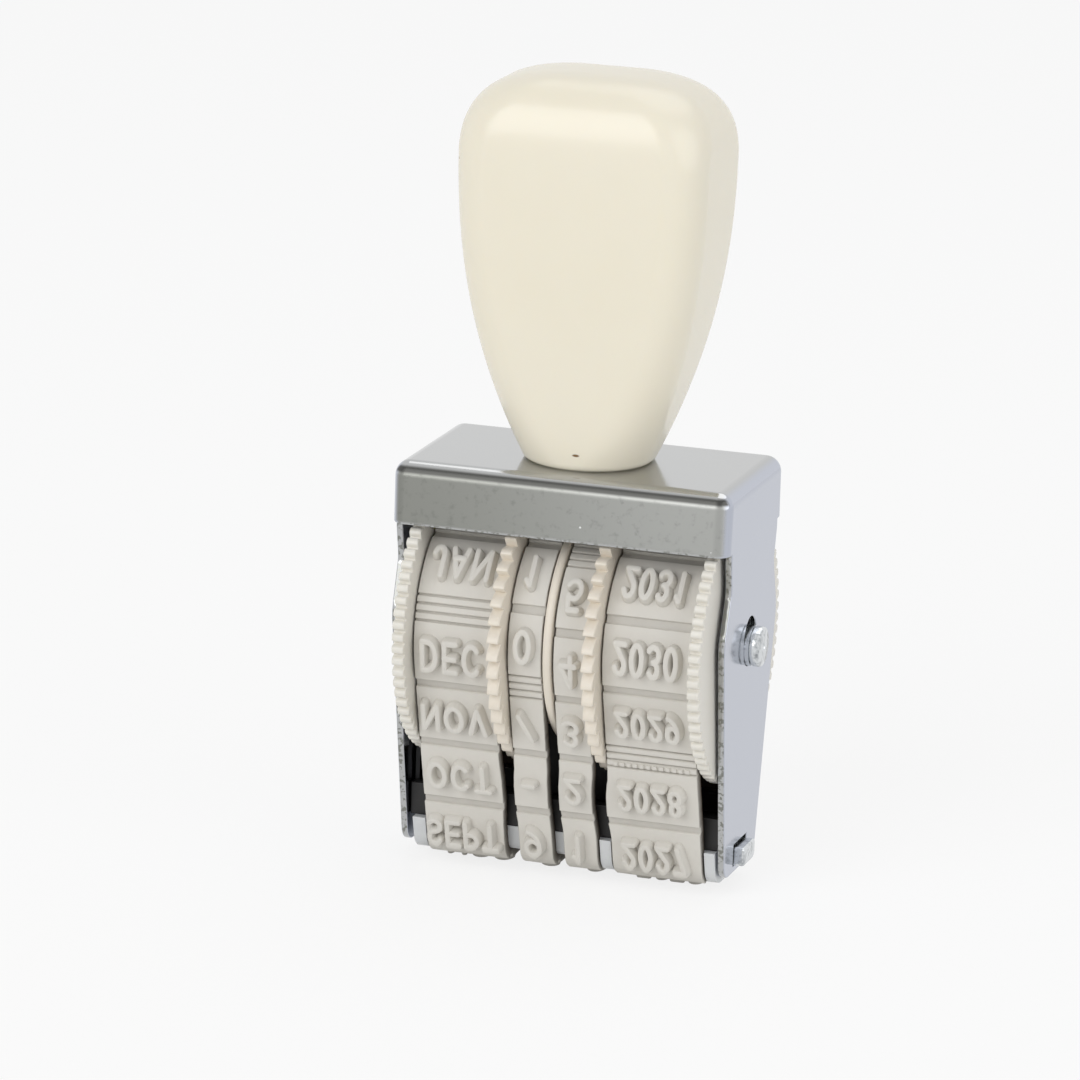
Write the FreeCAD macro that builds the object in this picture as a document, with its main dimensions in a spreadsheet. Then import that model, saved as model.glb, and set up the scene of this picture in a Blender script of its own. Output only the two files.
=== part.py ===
import FreeCAD, Part
import math
import os
import Sketcher

# Hand date stamp: a pressed and chromed frame under a moulded knob, four
# rubber type bands that run from thumb wheels on one axle round a platen,
# and the bar that carries the platen. Millimetres, +Z up. The printing line
# lies on z = 0, X runs along the axle, and the readable side faces -Y.

doc = FreeCAD.newDocument("DateStamp")
sizes = doc.addObject("Spreadsheet::Sheet", "Sizes")

driving = [
    # frame
    ("sheet", 0.8),
    ("cap_depth", 21.7),
    ("cap_bend", 1.8),
    ("lip_flare", 0.35),
    ("lip_clearance", 0.25),
    ("wheel_room", 3.05),
    ("plate_lean", 0.55),
    ("plate_play", 0.25),
    ("shoulder_inset", 0.1),
    ("shoulder_drop", 1.0),
    ("recess_drop", 4.6),
    ("recess_depth", 16.6),
    ("recess_round", 3.0),
    ("bulge_rise", 2.2),
    ("bulge_depth", 20.6),
    ("bulge_round", 6.0),
    ("foot_depth", 11.8),
    ("foot_round", 2.0),
    ("foot_web", 0.75),
    # axle
    ("axle_height", 28.3),
    ("axle_diameter", 4.6),
    ("axle_reach", 1.6),
    ("axle_chamfer", 0.3),
    ("barrel_diameter", 5.6),
    ("slot_play", 0.05),
    ("slot_travel", 1.0),
    ("spacer_thickness", 1.0),
    ("spacer_diameter", 9.0),
    # thumb wheels
    ("flange_radius", 15.85),
    ("flange_thickness", 1.35),
    ("outer_teeth", 70),
    ("outer_tooth", 0.7),
    ("inner_teeth", 48),
    ("inner_tooth", 1.2),
    ("tooth_root", 0.3),
    ("drum_play", 0.1),
    ("bore_play", 0.05),
    ("side_gap", 0.2),
    ("divider_radius", 13.2),
    ("divider_thickness", 1.0),
    # type bands
    ("band_radius", 11.55),
    ("belt_thickness", 0.9),
    ("cord_depth", 0.3),
    ("pad_thickness", 1.25),
    ("relief", 1.1),
    ("pad_count", 13),
    ("pad_gap", 0.9),
    ("joint_strip", 2.0),
    ("joint_ribs", 3),
    ("joint_groove", 0.2),
    ("month_width", 9.35),
    ("digit_width", 3.95),
    ("year_width", 10.55),
    ("type_height", 3.9),
    ("type_draft", 0.1),
    ("type_root", 0.3),
    ("month_letter", 2.1),
    ("month_step", 2.75),
    ("year_digit", 1.85),
    ("year_step", 2.2),
    ("day_digit", 2.2),
    # platen, bridge and bar
    ("platen_flat", 7.44),
    ("platen_corner", 1.5),
    ("band_seat", 0.1),
    ("platen_floor", 0.6),
    ("platen_roof", 0.35),
    ("guide_height", 1.0),
    ("bridge_height", 3.8),
    ("bridge_wall", 1.5),
    ("bridge_play", 0.1),
    ("bar_depth", 4.4),
    ("bar_height", 2.2),
    ("bar_reach", 1.2),
    ("bar_round", 0.9),
    ("bar_play", 0.35),
    # knob and its screw
    ("knob_height", 44.1),
    ("knob_foot_radius", 7.2),
    ("knob_half_width", 14.45),
    ("knob_half_depth", 9.6),
    ("knob_shoulder", 35.5),
    ("knob_side_curve", 2.22),
    ("knob_front_curve", 1.6),
    ("knob_crown_curve", 2.56),
    ("knob_crown_round", 0.3),
    ("knob_crown_flat", 0.012),
    ("knob_corner_share", 0.47),
    ("knob_foot_roundness", 0.48),
    ("knob_crown_roundness", 0.3),
    ("screw_diameter", 4.0),
    ("screw_length", 10.5),
    ("screw_head_diameter", 7.6),
    ("screw_head_height", 2.0),
    ("screw_play", 0.15),
    ("thread_play", 0.03),
    ("washer_diameter", 9.0),
    ("washer_thickness", 0.8),
    ("insert_diameter", 6.6),
    ("insert_length", 9.0),
    ("insert_play", 0.05),
]
for row, (name, number) in enumerate(driving, start=1):
    sizes.set(f"A{row}", name)
    sizes.set(f"B{row}", str(number))
    sizes.setAlias(f"B{row}", name)
doc.recompute()


def value(expression):
    found = sizes.evalExpression(expression)
    return float(getattr(found, "Value", found))


# Levels above the printing line
band_floor = "(Sizes.relief + Sizes.pad_thickness)"
bar_bottom = f"({band_floor} + Sizes.platen_floor)"
bar_top = f"({bar_bottom} + Sizes.bar_height)"
platen_top = f"({bar_top} + Sizes.platen_roof)"
foot = f"({bar_bottom} - Sizes.foot_web)"
frame_top = "(Sizes.axle_height + Sizes.flange_radius + Sizes.wheel_room + Sizes.sheet)"
frame_ceiling = f"({frame_top} - Sizes.sheet)"
lip_bottom = ("(Sizes.axle_height + sqrt((Sizes.flange_radius + Sizes.lip_clearance)^2"
              " - (Sizes.cap_depth / 2 - Sizes.sheet)^2))")

# Stack of wheels and bands along the axle, which sets the width of the frame
stack_length = ("(Sizes.spacer_thickness + 4 * Sizes.flange_thickness + Sizes.divider_thickness"
                " + Sizes.month_width + 2 * Sizes.digit_width + Sizes.year_width + 9 * Sizes.side_gap)")
lean_rate = f"(Sizes.plate_lean / ({frame_top} - {foot}))"
inner_half = f"(({stack_length} + {lean_rate} * Sizes.flange_radius + Sizes.plate_play) / 2)"
outer_half = f"({inner_half} + {lean_rate} * ({frame_top} - Sizes.axle_height) + Sizes.sheet)"


def after(start, *lengths):
    return "(" + " + ".join([start, *lengths]) + ")"


def plate_outside(level):
    return f"({outer_half} - {lean_rate} * ({frame_top} - {level}))"


gap = "Sizes.side_gap"
flange = "Sizes.flange_thickness"
spacer_left = f"(-{inner_half} + {gap} / 2)"
month_flange = after(f"(-{inner_half})", "Sizes.spacer_thickness", gap)
month_left = after(month_flange, flange, gap)
tens_flange = after(month_left, "Sizes.month_width", gap)
tens_left = after(tens_flange, flange, gap)
divider_left = after(tens_left, "Sizes.digit_width", gap)
units_left = after(divider_left, "Sizes.divider_thickness", gap)
units_flange = after(units_left, "Sizes.digit_width", gap)
year_left = after(units_flange, flange, gap)
year_flange = after(year_left, "Sizes.year_width", gap)
year_end = after(year_flange, flange)

# Slant of the bands' straight runs, from the drum in to the platen's corner
corner_level = f"({band_floor} + Sizes.platen_corner)"
corner_half = "(Sizes.platen_flat / 2)"
run_drop = f"(Sizes.axle_height - {corner_level})"
slant = (f"(asin((Sizes.band_radius - Sizes.platen_corner) / sqrt({corner_half}^2 + {run_drop}^2))"
         f" - atan({corner_half} / {run_drop}))")


def run_inside(level, offset):
    """Half depth at a level between the bands' straight runs, offset outwards from their inner face."""
    return (f"({corner_half} + (Sizes.platen_corner + {offset}"
            f" + ({level} - {corner_level}) * sin({slant})) / cos({slant}))")


pieces = []


def new_body(name):
    body = doc.addObject("PartDesign::Body", name)
    body.Label = name
    pieces.append(body)
    return body


def add_built(name, shape):
    """Piece whose shape is built point by point from the sheet's values."""
    feature = doc.addObject("Part::Feature", name)
    feature.Label = name
    feature.Shape = shape
    pieces.append(feature)


def faceted(rings):
    """Solid of flat faces between closed rings that hold equally many points."""
    faces = [Part.Face(Part.makePolygon(ring + ring[:1])) for ring in (rings[0], rings[-1])]
    count = len(rings[0])
    for lower, upper in zip(rings, rings[1:]):
        for index in range(count):
            following = (index + 1) % count
            corners = [lower[index], lower[following], upper[following], upper[index]]
            faces.append(Part.Face(Part.makePolygon(corners + corners[:1])))
    return Part.Solid(Part.makeShell(faces))


def origin_part(body, role):
    return [part for part in body.Origin.OriginFeatures if part.Role == role][0]


def new_sketch(body, name, plane, lift=None):
    sketch = body.newObject("Sketcher::SketchObject", name)
    sketch.AttachmentSupport = [(origin_part(body, plane), "")]
    sketch.MapMode = "FlatFace"
    if lift is not None:
        sketch.setExpression("AttachmentOffset.Base.z", lift)
    return sketch


def bind(sketch, kind, place, expression):
    """Dimension of a sketch that follows an expression over the sheet."""
    index = sketch.addConstraint(Sketcher.Constraint(kind, *place, value(expression)))
    sketch.setExpression(f"Constraints[{index}]", expression)


def bind_point(sketch, line, end, u, v):
    axis_of = {"DistanceX": -2, "DistanceY": -1}
    for kind, expression in (("DistanceX", u), ("DistanceY", v)):
        if expression == "0":
            sketch.addConstraint(Sketcher.Constraint("PointOnObject", line, end, axis_of[kind]))
        else:
            bind(sketch, kind, (line, end), expression)


def add_polygon(sketch, corners):
    first = sketch.GeometryCount
    points = [FreeCAD.Vector(value(u), value(v), 0) for u, v in corners]
    count = len(points)
    for index in range(count):
        sketch.addGeometry(Part.LineSegment(points[index], points[(index + 1) % count]), False)
    for index in range(count):
        following = first + (index + 1) % count
        sketch.addConstraint(Sketcher.Constraint("Coincident", first + index, 2, following, 1))
    for index, (u, v) in enumerate(corners):
        bind_point(sketch, first + index, 1, u, v)


def add_circle(sketch, u, v, radius):
    index = sketch.addGeometry(Part.Circle(FreeCAD.Vector(value(u), value(v), 0),
                                           FreeCAD.Vector(0, 0, 1), value(radius)), False)
    bind_point(sketch, index, 3, u, v)
    bind(sketch, "Radius", (index,), radius)


def add_slot(sketch, low, high, radius):
    """Upright slot on the vertical axis, with its two end centres at low and high."""
    half, bottom, top = value(radius), value(low), value(high)
    lower = sketch.addGeometry(Part.ArcOfCircle(Part.Circle(
        FreeCAD.Vector(0, bottom, 0), FreeCAD.Vector(0, 0, 1), half), math.pi, 2 * math.pi), False)
    upper = sketch.addGeometry(Part.ArcOfCircle(Part.Circle(
        FreeCAD.Vector(0, top, 0), FreeCAD.Vector(0, 0, 1), half), 0, math.pi), False)
    right = sketch.addGeometry(Part.LineSegment(
        FreeCAD.Vector(half, bottom, 0), FreeCAD.Vector(half, top, 0)), False)
    left = sketch.addGeometry(Part.LineSegment(
        FreeCAD.Vector(-half, top, 0), FreeCAD.Vector(-half, bottom, 0)), False)
    for first, first_end, second, second_end in ((lower, 2, right, 1), (right, 2, upper, 1),
                                                 (upper, 2, left, 1), (left, 2, lower, 1)):
        sketch.addConstraint(Sketcher.Constraint("Tangent", first, first_end, second, second_end))
    sketch.addConstraint(Sketcher.Constraint("Vertical", right))
    bind_point(sketch, lower, 3, "0", low)
    bind(sketch, "DistanceY", (upper, 3), high)
    bind(sketch, "Radius", (lower,), radius)


def new_pad(body, sketch, length, symmetric=False, reversed_way=False):
    pad = body.newObject("PartDesign::Pad", sketch.Name + "Pad")
    pad.Profile = (sketch, [""])
    pad.SideType = "Symmetric" if symmetric else "One side"
    pad.Reversed = reversed_way
    pad.setExpression("Length", length)
    doc.recompute()
    return pad


def new_pocket(body, sketch, length=None, symmetric=False, reversed_way=False):
    """Pocket as deep as length, or right through both ways. It has to take volume away."""
    before = body.Shape.Volume
    pocket = body.newObject("PartDesign::Pocket", sketch.Name + "Pocket")
    pocket.Profile = (sketch, [""])
    pocket.SideType = "Symmetric" if symmetric or length is None else "One side"
    pocket.Reversed = reversed_way
    if length is None:
        pocket.Type = "ThroughAll"
    else:
        pocket.setExpression("Length", length)
    doc.recompute()
    if body.Shape.Volume > before - 1e-6:
        raise RuntimeError(f"{pocket.Name} cuts nothing")
    return pocket


def new_revolution(body, sketch, axis_role="X_Axis"):
    revolution = body.newObject("PartDesign::Revolution", sketch.Name + "Turned")
    revolution.Profile = (sketch, [""])
    revolution.ReferenceAxis = (origin_part(body, axis_role), [""])
    revolution.Angle = 360
    doc.recompute()
    return revolution


def repeat_round(body, feature, count, axis_role="X_Axis"):
    pattern = body.newObject("PartDesign::PolarPattern", feature.Name + "Round")
    pattern.Originals = [feature]
    pattern.Axis = (origin_part(body, axis_role), [""])
    pattern.Angle = 360
    pattern.setExpression("Occurrences", count)
    body.Tip = pattern
    doc.recompute()
    return pattern


near = 0.01


def edge_names(shape, wanted):
    return [f"Edge{index}" for index, edge in enumerate(shape.Edges, start=1) if wanted(edge)]


def new_fillet(body, wanted, radius):
    base = body.Tip
    fillet = body.newObject("PartDesign::Fillet", base.Name + "Round")
    fillet.Base = (base, edge_names(base.Shape, wanted))
    fillet.setExpression("Radius", radius)
    doc.recompute()
    return fillet


def low(edge, axis):
    return min(getattr(corner.Point, axis) for corner in edge.Vertexes)


def high(edge, axis):
    return max(getattr(corner.Point, axis) for corner in edge.Vertexes)


def spans(edge, axis):
    """Distance between an edge's ends along an axis."""
    return high(edge, axis) - low(edge, axis)


def build_frame():
    body = new_body("frame")
    lip_half = plate_outside(lip_bottom)
    depth_half = "Sizes.cap_depth / 2"
    flared = f"({depth_half} + Sizes.lip_flare)"
    side = new_sketch(body, "CapSide", "YZ_Plane")
    add_polygon(side, [(f"-{flared}", lip_bottom), (flared, lip_bottom),
                       (depth_half, frame_top), (f"-{depth_half}", frame_top)])
    new_pad(body, side, f"2 * {outer_half}", symmetric=True)
    lean = new_sketch(body, "CapLean", "XZ_Plane")
    for sign in ("", "-"):
        add_polygon(lean, [(f"{sign}{outer_half}", frame_top), (f"{sign}{lip_half}", lip_bottom),
                           (f"{sign}({outer_half} + Sizes.sheet)", lip_bottom)])
    new_pocket(body, lean)
    roof, ceiling = value(frame_top), value(frame_ceiling)
    hollow = new_sketch(body, "CapHollow", "YZ_Plane")
    hollow_foot, hollow_head = f"({flared} - Sizes.sheet)", f"({depth_half} - Sizes.sheet)"
    add_polygon(hollow, [(f"-{hollow_foot}", lip_bottom), (hollow_foot, lip_bottom),
                         (hollow_head, frame_ceiling), (f"-{hollow_head}", frame_ceiling)])
    hollow_half = f"({lip_half} - Sizes.sheet)"
    new_pocket(body, hollow, f"2 * {hollow_half}", symmetric=True)
    inside = value(hollow_half)
    new_fillet(body, lambda edge: abs(low(edge, "z") - ceiling) < near and spans(edge, "z") < near,
               "(Sizes.cap_bend - Sizes.sheet)")
    new_fillet(body, lambda edge: (low(edge, "z") > roof - near
                                   or (spans(edge, "z") > 3 and abs(edge.Vertexes[0].X) > inside + 0.2)),
               "Sizes.cap_bend")

    legs = new_sketch(body, "Legs", "XZ_Plane")
    for sign in ("", "-"):
        add_polygon(legs, [(f"{sign}{plate_outside(foot)}", foot), (f"{sign}{lip_half}", lip_bottom),
                           (f"{sign}({lip_half} - Sizes.sheet)", lip_bottom),
                           (f"{sign}({plate_outside(foot)} - Sizes.sheet)", foot)])
    new_pad(body, legs, "Sizes.bulge_depth + 2 * Sizes.sheet", symmetric=True)

    outline = new_sketch(body, "PlateOutline", "YZ_Plane")
    far = "Sizes.cap_depth"
    shoulder = "(Sizes.cap_depth / 2 - Sizes.cap_bend - Sizes.shoulder_inset)"
    neck = f"({lip_bottom} - Sizes.shoulder_drop)"
    recess = f"({lip_bottom} - Sizes.recess_drop)"
    bulge = "(Sizes.axle_height + Sizes.bulge_rise)"
    below = f"({foot} - Sizes.sheet)"
    for sign in ("", "-"):
        add_polygon(outline, [(f"{sign}Sizes.foot_depth / 2", below), (f"{sign}Sizes.foot_depth / 2", foot),
                              (f"{sign}Sizes.bulge_depth / 2", bulge),
                              (f"{sign}Sizes.recess_depth / 2", recess),
                              (f"{sign}{shoulder}", neck), (f"{sign}{shoulder}", lip_bottom),
                              (f"{sign}{far}", lip_bottom), (f"{sign}{far}", below)])
    new_pocket(body, outline)
    bulge_level, recess_level, foot_level = value(bulge), value(recess), value(foot)

    def across_at(level):
        return lambda edge: (0.5 < spans(edge, "x") < 2 and spans(edge, "y") < near
                             and abs(low(edge, "z") - level) < 0.05)

    new_fillet(body, across_at(recess_level), "Sizes.recess_round")
    new_fillet(body, across_at(bulge_level), "Sizes.bulge_round")
    new_fillet(body, across_at(foot_level), "Sizes.foot_round")

    slot = new_sketch(body, "AxleSlot", "YZ_Plane")
    slot_radius = "(Sizes.axle_diameter / 2 + Sizes.slot_play)"
    add_slot(slot, "Sizes.axle_height", "(Sizes.axle_height + Sizes.slot_travel)", slot_radius)
    new_pocket(body, slot)
    window = new_sketch(body, "BarWindow", "YZ_Plane")
    window_half = "(Sizes.bar_depth / 2 + Sizes.bar_play)"
    window_top = f"({bar_top} + Sizes.bar_play)"
    add_polygon(window, [(f"-{window_half}", bar_bottom), (window_half, bar_bottom),
                         (window_half, window_top), (f"-{window_half}", window_top)])
    new_pocket(body, window)
    hole = new_sketch(body, "ScrewHole", "XY_Plane", frame_top)
    add_circle(hole, "0", "0", "(Sizes.screw_diameter / 2 + Sizes.screw_play)")
    new_pocket(body, hole, "2 * Sizes.sheet")


def build_axle():
    body = new_body("axle")
    sketch = new_sketch(body, "AxleHalf", "XZ_Plane")
    end = f"({plate_outside('Sizes.axle_height')} + Sizes.axle_reach)"
    barrel = f"({inner_half} - {gap} / 2)"
    radius = "Sizes.axle_diameter / 2"
    chamfer = "Sizes.axle_chamfer"
    thick = "Sizes.barrel_diameter / 2"
    add_polygon(sketch, [(f"-{end}", "0"), (end, "0"), (end, f"({radius} - {chamfer})"),
                         (f"({end} - {chamfer})", radius), (barrel, radius), (barrel, thick),
                         (f"-{barrel}", thick), (f"-{barrel}", radius),
                         (f"-({end} - {chamfer})", radius), (f"-{end}", f"({radius} - {chamfer})")])
    new_revolution(body, sketch)
    body.setExpression("Placement.Base.z", "Sizes.axle_height")


bore = "(Sizes.barrel_diameter / 2 + Sizes.bore_play)"


def build_ring(name, left, thickness, outer_radius):
    """Plain ring on the axle."""
    body = new_body(name)
    sketch = new_sketch(body, name + "Half", "XZ_Plane")
    right = after(left, thickness)
    add_polygon(sketch, [(left, bore), (right, bore), (right, outer_radius), (left, outer_radius)])
    new_revolution(body, sketch)
    body.setExpression("Placement.Base.z", "Sizes.axle_height")


def build_wheel(name, flange_left, drum_width, drum_side, teeth, tooth_height, tooth_shape):
    """Thumb wheel: a toothed flange and, on one side of it, the drum that drives a band."""
    body = new_body(name)
    root = f"(Sizes.flange_radius - {tooth_height})"
    rim = f"({root} - Sizes.tooth_root)"
    drum = "(Sizes.band_radius - Sizes.drum_play)"
    flange_right = after(flange_left, flange)
    reach = f"({gap} + {drum_width})"
    if drum_side > 0:
        back, face, end = flange_left, flange_right, f"({flange_right} + {reach})"
    else:
        back, face, end = flange_right, flange_left, f"({flange_left} - {reach})"
    half = new_sketch(body, name + "Half", "XZ_Plane")
    add_polygon(half, [(back, bore), (back, rim), (face, rim), (face, drum), (end, drum), (end, bore)])
    new_revolution(body, half)

    step = f"(360 / {teeth})"
    tooth = new_sketch(body, name + "Tooth", "YZ_Plane", flange_left)
    radius_of = {"sunk": f"({rim} - Sizes.tooth_root)", "root": root, "tip": "Sizes.flange_radius"}
    corners = [(radius_of[level], f"({share} * {step})") for share, level in tooth_shape]
    add_polygon(tooth, [(f"({radius} * sin({turn}))", f"({radius} * cos({turn}))")
                        for radius, turn in corners])
    teeth_pad = new_pad(body, tooth, flange)
    repeat_round(body, teeth_pad, teeth)

    body.setExpression("Placement.Base.z", "Sizes.axle_height")


# One tooth about its crest: share of the tooth pitch and level, going round.
# Each takes up one whole pitch, so neighbours meet in a sharp root.
fine_tooth = [(-0.5, "sunk"), (-0.5, "root"), (-0.22, "tip"), (0.22, "tip"), (0.5, "root"), (0.5, "sunk")]
saw_tooth = [(-0.42, "sunk"), (-0.42, "root"), (-0.36, "tip"), (-0.2, "tip"), (0.58, "root"), (0.58, "sunk")]


def build_platen():
    """White moulding inside the bands: a slanted core, and guide ribs between and beside the bands."""
    body = new_body("platen")
    left = f"({month_flange} - {gap})"
    right = f"({year_end} - {gap} / 2)"

    def add_section(name, start, length, proud):
        section = new_sketch(body, name, "YZ_Plane", start)
        bottom = f"({band_floor} - {proud})"
        beside = f"{proud} - Sizes.band_seat"
        foot_half, head_half = run_inside(bottom, beside), run_inside(platen_top, beside)
        add_polygon(section, [(f"-{foot_half}", bottom), (foot_half, bottom),
                              (head_half, platen_top), (f"-{head_half}", platen_top)])
        new_pad(body, section, length)
        lowest, first, last = value(bottom), value(start), value(f"{start} + {length}")
        new_fillet(body, lambda edge: (spans(edge, "x") > 0.5 and high(edge, "z") < lowest + near
                                       and low(edge, "x") > first - near and high(edge, "x") < last + near),
                   f"(Sizes.platen_corner + {proud})")

    add_section("PlatenCore", left, f"({right} - {left})", "0")
    add_section("MonthGuide", left, f"({month_left} - {gap} - {left})", "Sizes.guide_height")
    add_section("MiddleGuide", units_flange, flange, "Sizes.guide_height")
    add_section("YearGuide", year_flange, f"({right} - {year_flange})", "Sizes.guide_height")
    passage = new_sketch(body, "BarPassage", "YZ_Plane", right)
    add_polygon(passage, [("-Sizes.bar_depth / 2", bar_bottom), ("Sizes.bar_depth / 2", bar_bottom),
                          ("Sizes.bar_depth / 2", bar_top), ("-Sizes.bar_depth / 2", bar_top)])
    new_pocket(body, passage, f"({right} - {left})")


def build_bridge():
    """Dark moulding that lies on the platen and keeps the side plates apart."""
    body = new_body("bridge")
    top = after(platen_top, "Sizes.bridge_height")
    half_depth = run_inside(platen_top, "-Sizes.band_seat")
    half_length = f"({plate_outside(platen_top)} - Sizes.sheet - Sizes.bridge_play)"
    ends = new_sketch(body, "BridgeProfile", "YZ_Plane")
    inner_depth = f"({half_depth} - Sizes.bridge_wall)"
    floor = f"({platen_top} + Sizes.bridge_wall)"
    add_polygon(ends, [(f"-{half_depth}", platen_top), (half_depth, platen_top), (half_depth, top),
                       (inner_depth, top), (inner_depth, floor), (f"-{inner_depth}", floor),
                       (f"-{inner_depth}", top), (f"-{half_depth}", top)])
    new_pad(body, ends, f"2 * {half_length}", symmetric=True)


def build_bar():
    body = new_body("platen_bar")
    sketch = new_sketch(body, "BarSection", "YZ_Plane")
    add_polygon(sketch, [("-Sizes.bar_depth / 2", bar_bottom), ("Sizes.bar_depth / 2", bar_bottom),
                         ("Sizes.bar_depth / 2", bar_top), ("-Sizes.bar_depth / 2", bar_top)])
    new_pad(body, sketch, f"2 * ({plate_outside(bar_bottom)} + Sizes.bar_reach)", symmetric=True)
    underside, back = value(bar_bottom), value("Sizes.bar_depth / 2")
    new_fillet(body, lambda edge: (spans(edge, "x") > 5 and high(edge, "z") < underside + near
                                   and low(edge, "y") > back - near), "Sizes.bar_round")


# Knob: levels are counted up from the foot. Every section is a rectangle whose
# corners are rounded by the same directions, so the faces between two are flat.
body_levels = 9
crown_levels = 8
crown_spacing = 1.7
corner_facets = 6
foot_blend = 3


def knob_section(level):
    """Rise above the foot, half width, half depth and corner radius of the knob at a level."""
    foot_radius, wide = value("Sizes.knob_foot_radius"), value("Sizes.knob_half_width")
    deep, shoulder = value("Sizes.knob_half_depth"), value("Sizes.knob_shoulder")
    corner_share = value("Sizes.knob_corner_share")
    if level <= body_levels:
        below = 1 - level / body_levels
        half_width = wide - (wide - foot_radius) * below ** value("Sizes.knob_side_curve")
        half_depth = deep - (deep - foot_radius) * below ** value("Sizes.knob_front_curve")
        roundness = corner_share + value("Sizes.knob_foot_roundness") * below ** foot_blend
        return shoulder * (1 - below), half_width, half_depth, roundness * half_depth
    share = 1 - (1 - (level - body_levels) / crown_levels) ** crown_spacing
    narrow = max(1 - share ** value("Sizes.knob_crown_curve"), value("Sizes.knob_crown_flat"))
    narrow **= value("Sizes.knob_crown_round")
    rise = shoulder + (value("Sizes.knob_height") - shoulder) * share
    roundness = corner_share + value("Sizes.knob_crown_roundness") * share
    return rise, wide * narrow, deep * narrow, roundness * deep * narrow


def build_knob():
    """Pear-shaped knob, flatter in front and behind, with the insert's socket in its foot."""
    base = value(frame_top)
    rings = []
    for level in range(body_levels + crown_levels + 1):
        rise, half_width, half_depth, radius = knob_section(level)
        ring = []
        for quarter, (side, front) in enumerate(((1, 1), (-1, 1), (-1, -1), (1, -1))):
            for step in range(corner_facets + 1):
                angle = (quarter + step / corner_facets) * math.pi / 2
                across = side * (half_width - radius) + radius * math.cos(angle)
                back = front * (half_depth - radius) + radius * math.sin(angle)
                ring.append(FreeCAD.Vector(across, back, base + rise))
        rings.append(ring)
    socket_radius = value("Sizes.insert_diameter / 2 + Sizes.insert_play")
    socket = Part.makeCylinder(socket_radius, value("Sizes.screw_length"), FreeCAD.Vector(0, 0, base))
    add_built("handle", faceted(rings).cut(socket))


def build_insert():
    body = new_body("handle_insert")
    sketch = new_sketch(body, "InsertSection", "XY_Plane", frame_top)
    add_circle(sketch, "0", "0", "Sizes.insert_diameter / 2")
    new_pad(body, sketch, "Sizes.insert_length")
    hole = new_sketch(body, "InsertBore", "XY_Plane", frame_top)
    add_circle(hole, "0", "0", "(Sizes.screw_diameter / 2 + Sizes.thread_play)")
    new_pocket(body, hole, "Sizes.insert_length", reversed_way=True)


def build_screw():
    body = new_body("handle_screw")
    seat = f"({frame_ceiling} - Sizes.washer_thickness)"
    shank = new_sketch(body, "ScrewShank", "XY_Plane", seat)
    add_circle(shank, "0", "0", "Sizes.screw_diameter / 2")
    new_pad(body, shank, "Sizes.screw_length")
    head = new_sketch(body, "ScrewHead", "XY_Plane", seat)
    add_circle(head, "0", "0", "Sizes.screw_head_diameter / 2")
    new_pad(body, head, "Sizes.screw_head_height", reversed_way=True)


def build_washer():
    body = new_body("washer")
    sketch = new_sketch(body, "WasherFace", "XY_Plane", frame_ceiling)
    add_circle(sketch, "0", "0", "Sizes.washer_diameter / 2")
    add_circle(sketch, "0", "0", "(Sizes.screw_diameter / 2 + Sizes.screw_play)")
    new_pad(body, sketch, "Sizes.washer_thickness", reversed_way=True)


# Path of a band, seen from the side: bottom flat, platen corner, straight run
# up the front, half turn over the drum, and back down. A station is a length
# along the belt's cords from the middle of the printing line; an offset is a
# distance outwards from the belt's inner face.
slant_angle = math.radians(value(slant))
drum_radius = value("Sizes.band_radius")
corner_radius = value("Sizes.platen_corner")
flat_half = value(corner_half)
middle = value("Sizes.cord_depth")
run_length = math.sqrt(flat_half ** 2 + value(run_drop) ** 2 - (drum_radius - corner_radius) ** 2)
corner_turn = math.pi / 2 - slant_angle
drum_turn = math.pi + 2 * slant_angle
axle_level = value("Sizes.axle_height")
corner_centre = value(corner_level)
pad_face = value("Sizes.pad_thickness")
belt_face = value("Sizes.belt_thickness")

lengths = [flat_half, corner_turn * (corner_radius + middle), run_length, drum_turn * (drum_radius + middle),
           run_length, corner_turn * (corner_radius + middle), flat_half]
knots = [sum(lengths[:count]) for count in range(len(lengths) + 1)]
belt_length = knots[-1]
pad_total = int(value("Sizes.pad_count"))
pad_pitch = (belt_length - value("Sizes.joint_strip")) / pad_total
print(f"belt length {belt_length:.2f}, pad pitch {pad_pitch:.3f}")


def round_point(turn, angle, offset):
    y, z, radius = turn
    return y + (radius + offset) * math.cos(angle), z + (radius + offset) * math.sin(angle)


def heading(station):
    """Outward direction of the belt at a station, as an angle from +Y towards +Z, with the centre and
    radius it turns on, or the point of its inner face where it runs straight."""
    along = station % belt_length
    index = max(count for count in range(len(lengths)) if knots[count] <= along)
    part = along - knots[index]
    near_corner = (-flat_half, corner_centre, corner_radius)
    far_corner = (flat_half, corner_centre, corner_radius)
    drum = (0.0, axle_level, drum_radius)
    rise, fall = math.pi + slant_angle, -slant_angle
    if index == 0:
        return -math.pi / 2, None, (-part, corner_centre - corner_radius)
    if index == 1:
        return -math.pi / 2 - part / (corner_radius + middle), near_corner, None
    if index == 2:
        y, z = round_point(near_corner, rise, 0.0)
        return rise, None, (y - part * math.sin(slant_angle), z + part * math.cos(slant_angle))
    if index == 3:
        return rise - part / (drum_radius + middle), drum, None
    if index == 4:
        y, z = round_point(drum, fall, 0.0)
        return fall, None, (y - part * math.sin(slant_angle), z - part * math.cos(slant_angle))
    if index == 5:
        return fall - part / (corner_radius + middle), far_corner, None
    return -math.pi / 2, None, (flat_half - part, corner_centre - corner_radius)


def band_point(station, offset, x=0.0):
    angle, turn, start = heading(station)
    if turn is not None:
        y, z = round_point(turn, angle, offset)
    else:
        y, z = start[0] + offset * math.cos(angle), start[1] + offset * math.sin(angle)
    return FreeCAD.Vector(x, y, z)


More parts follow.
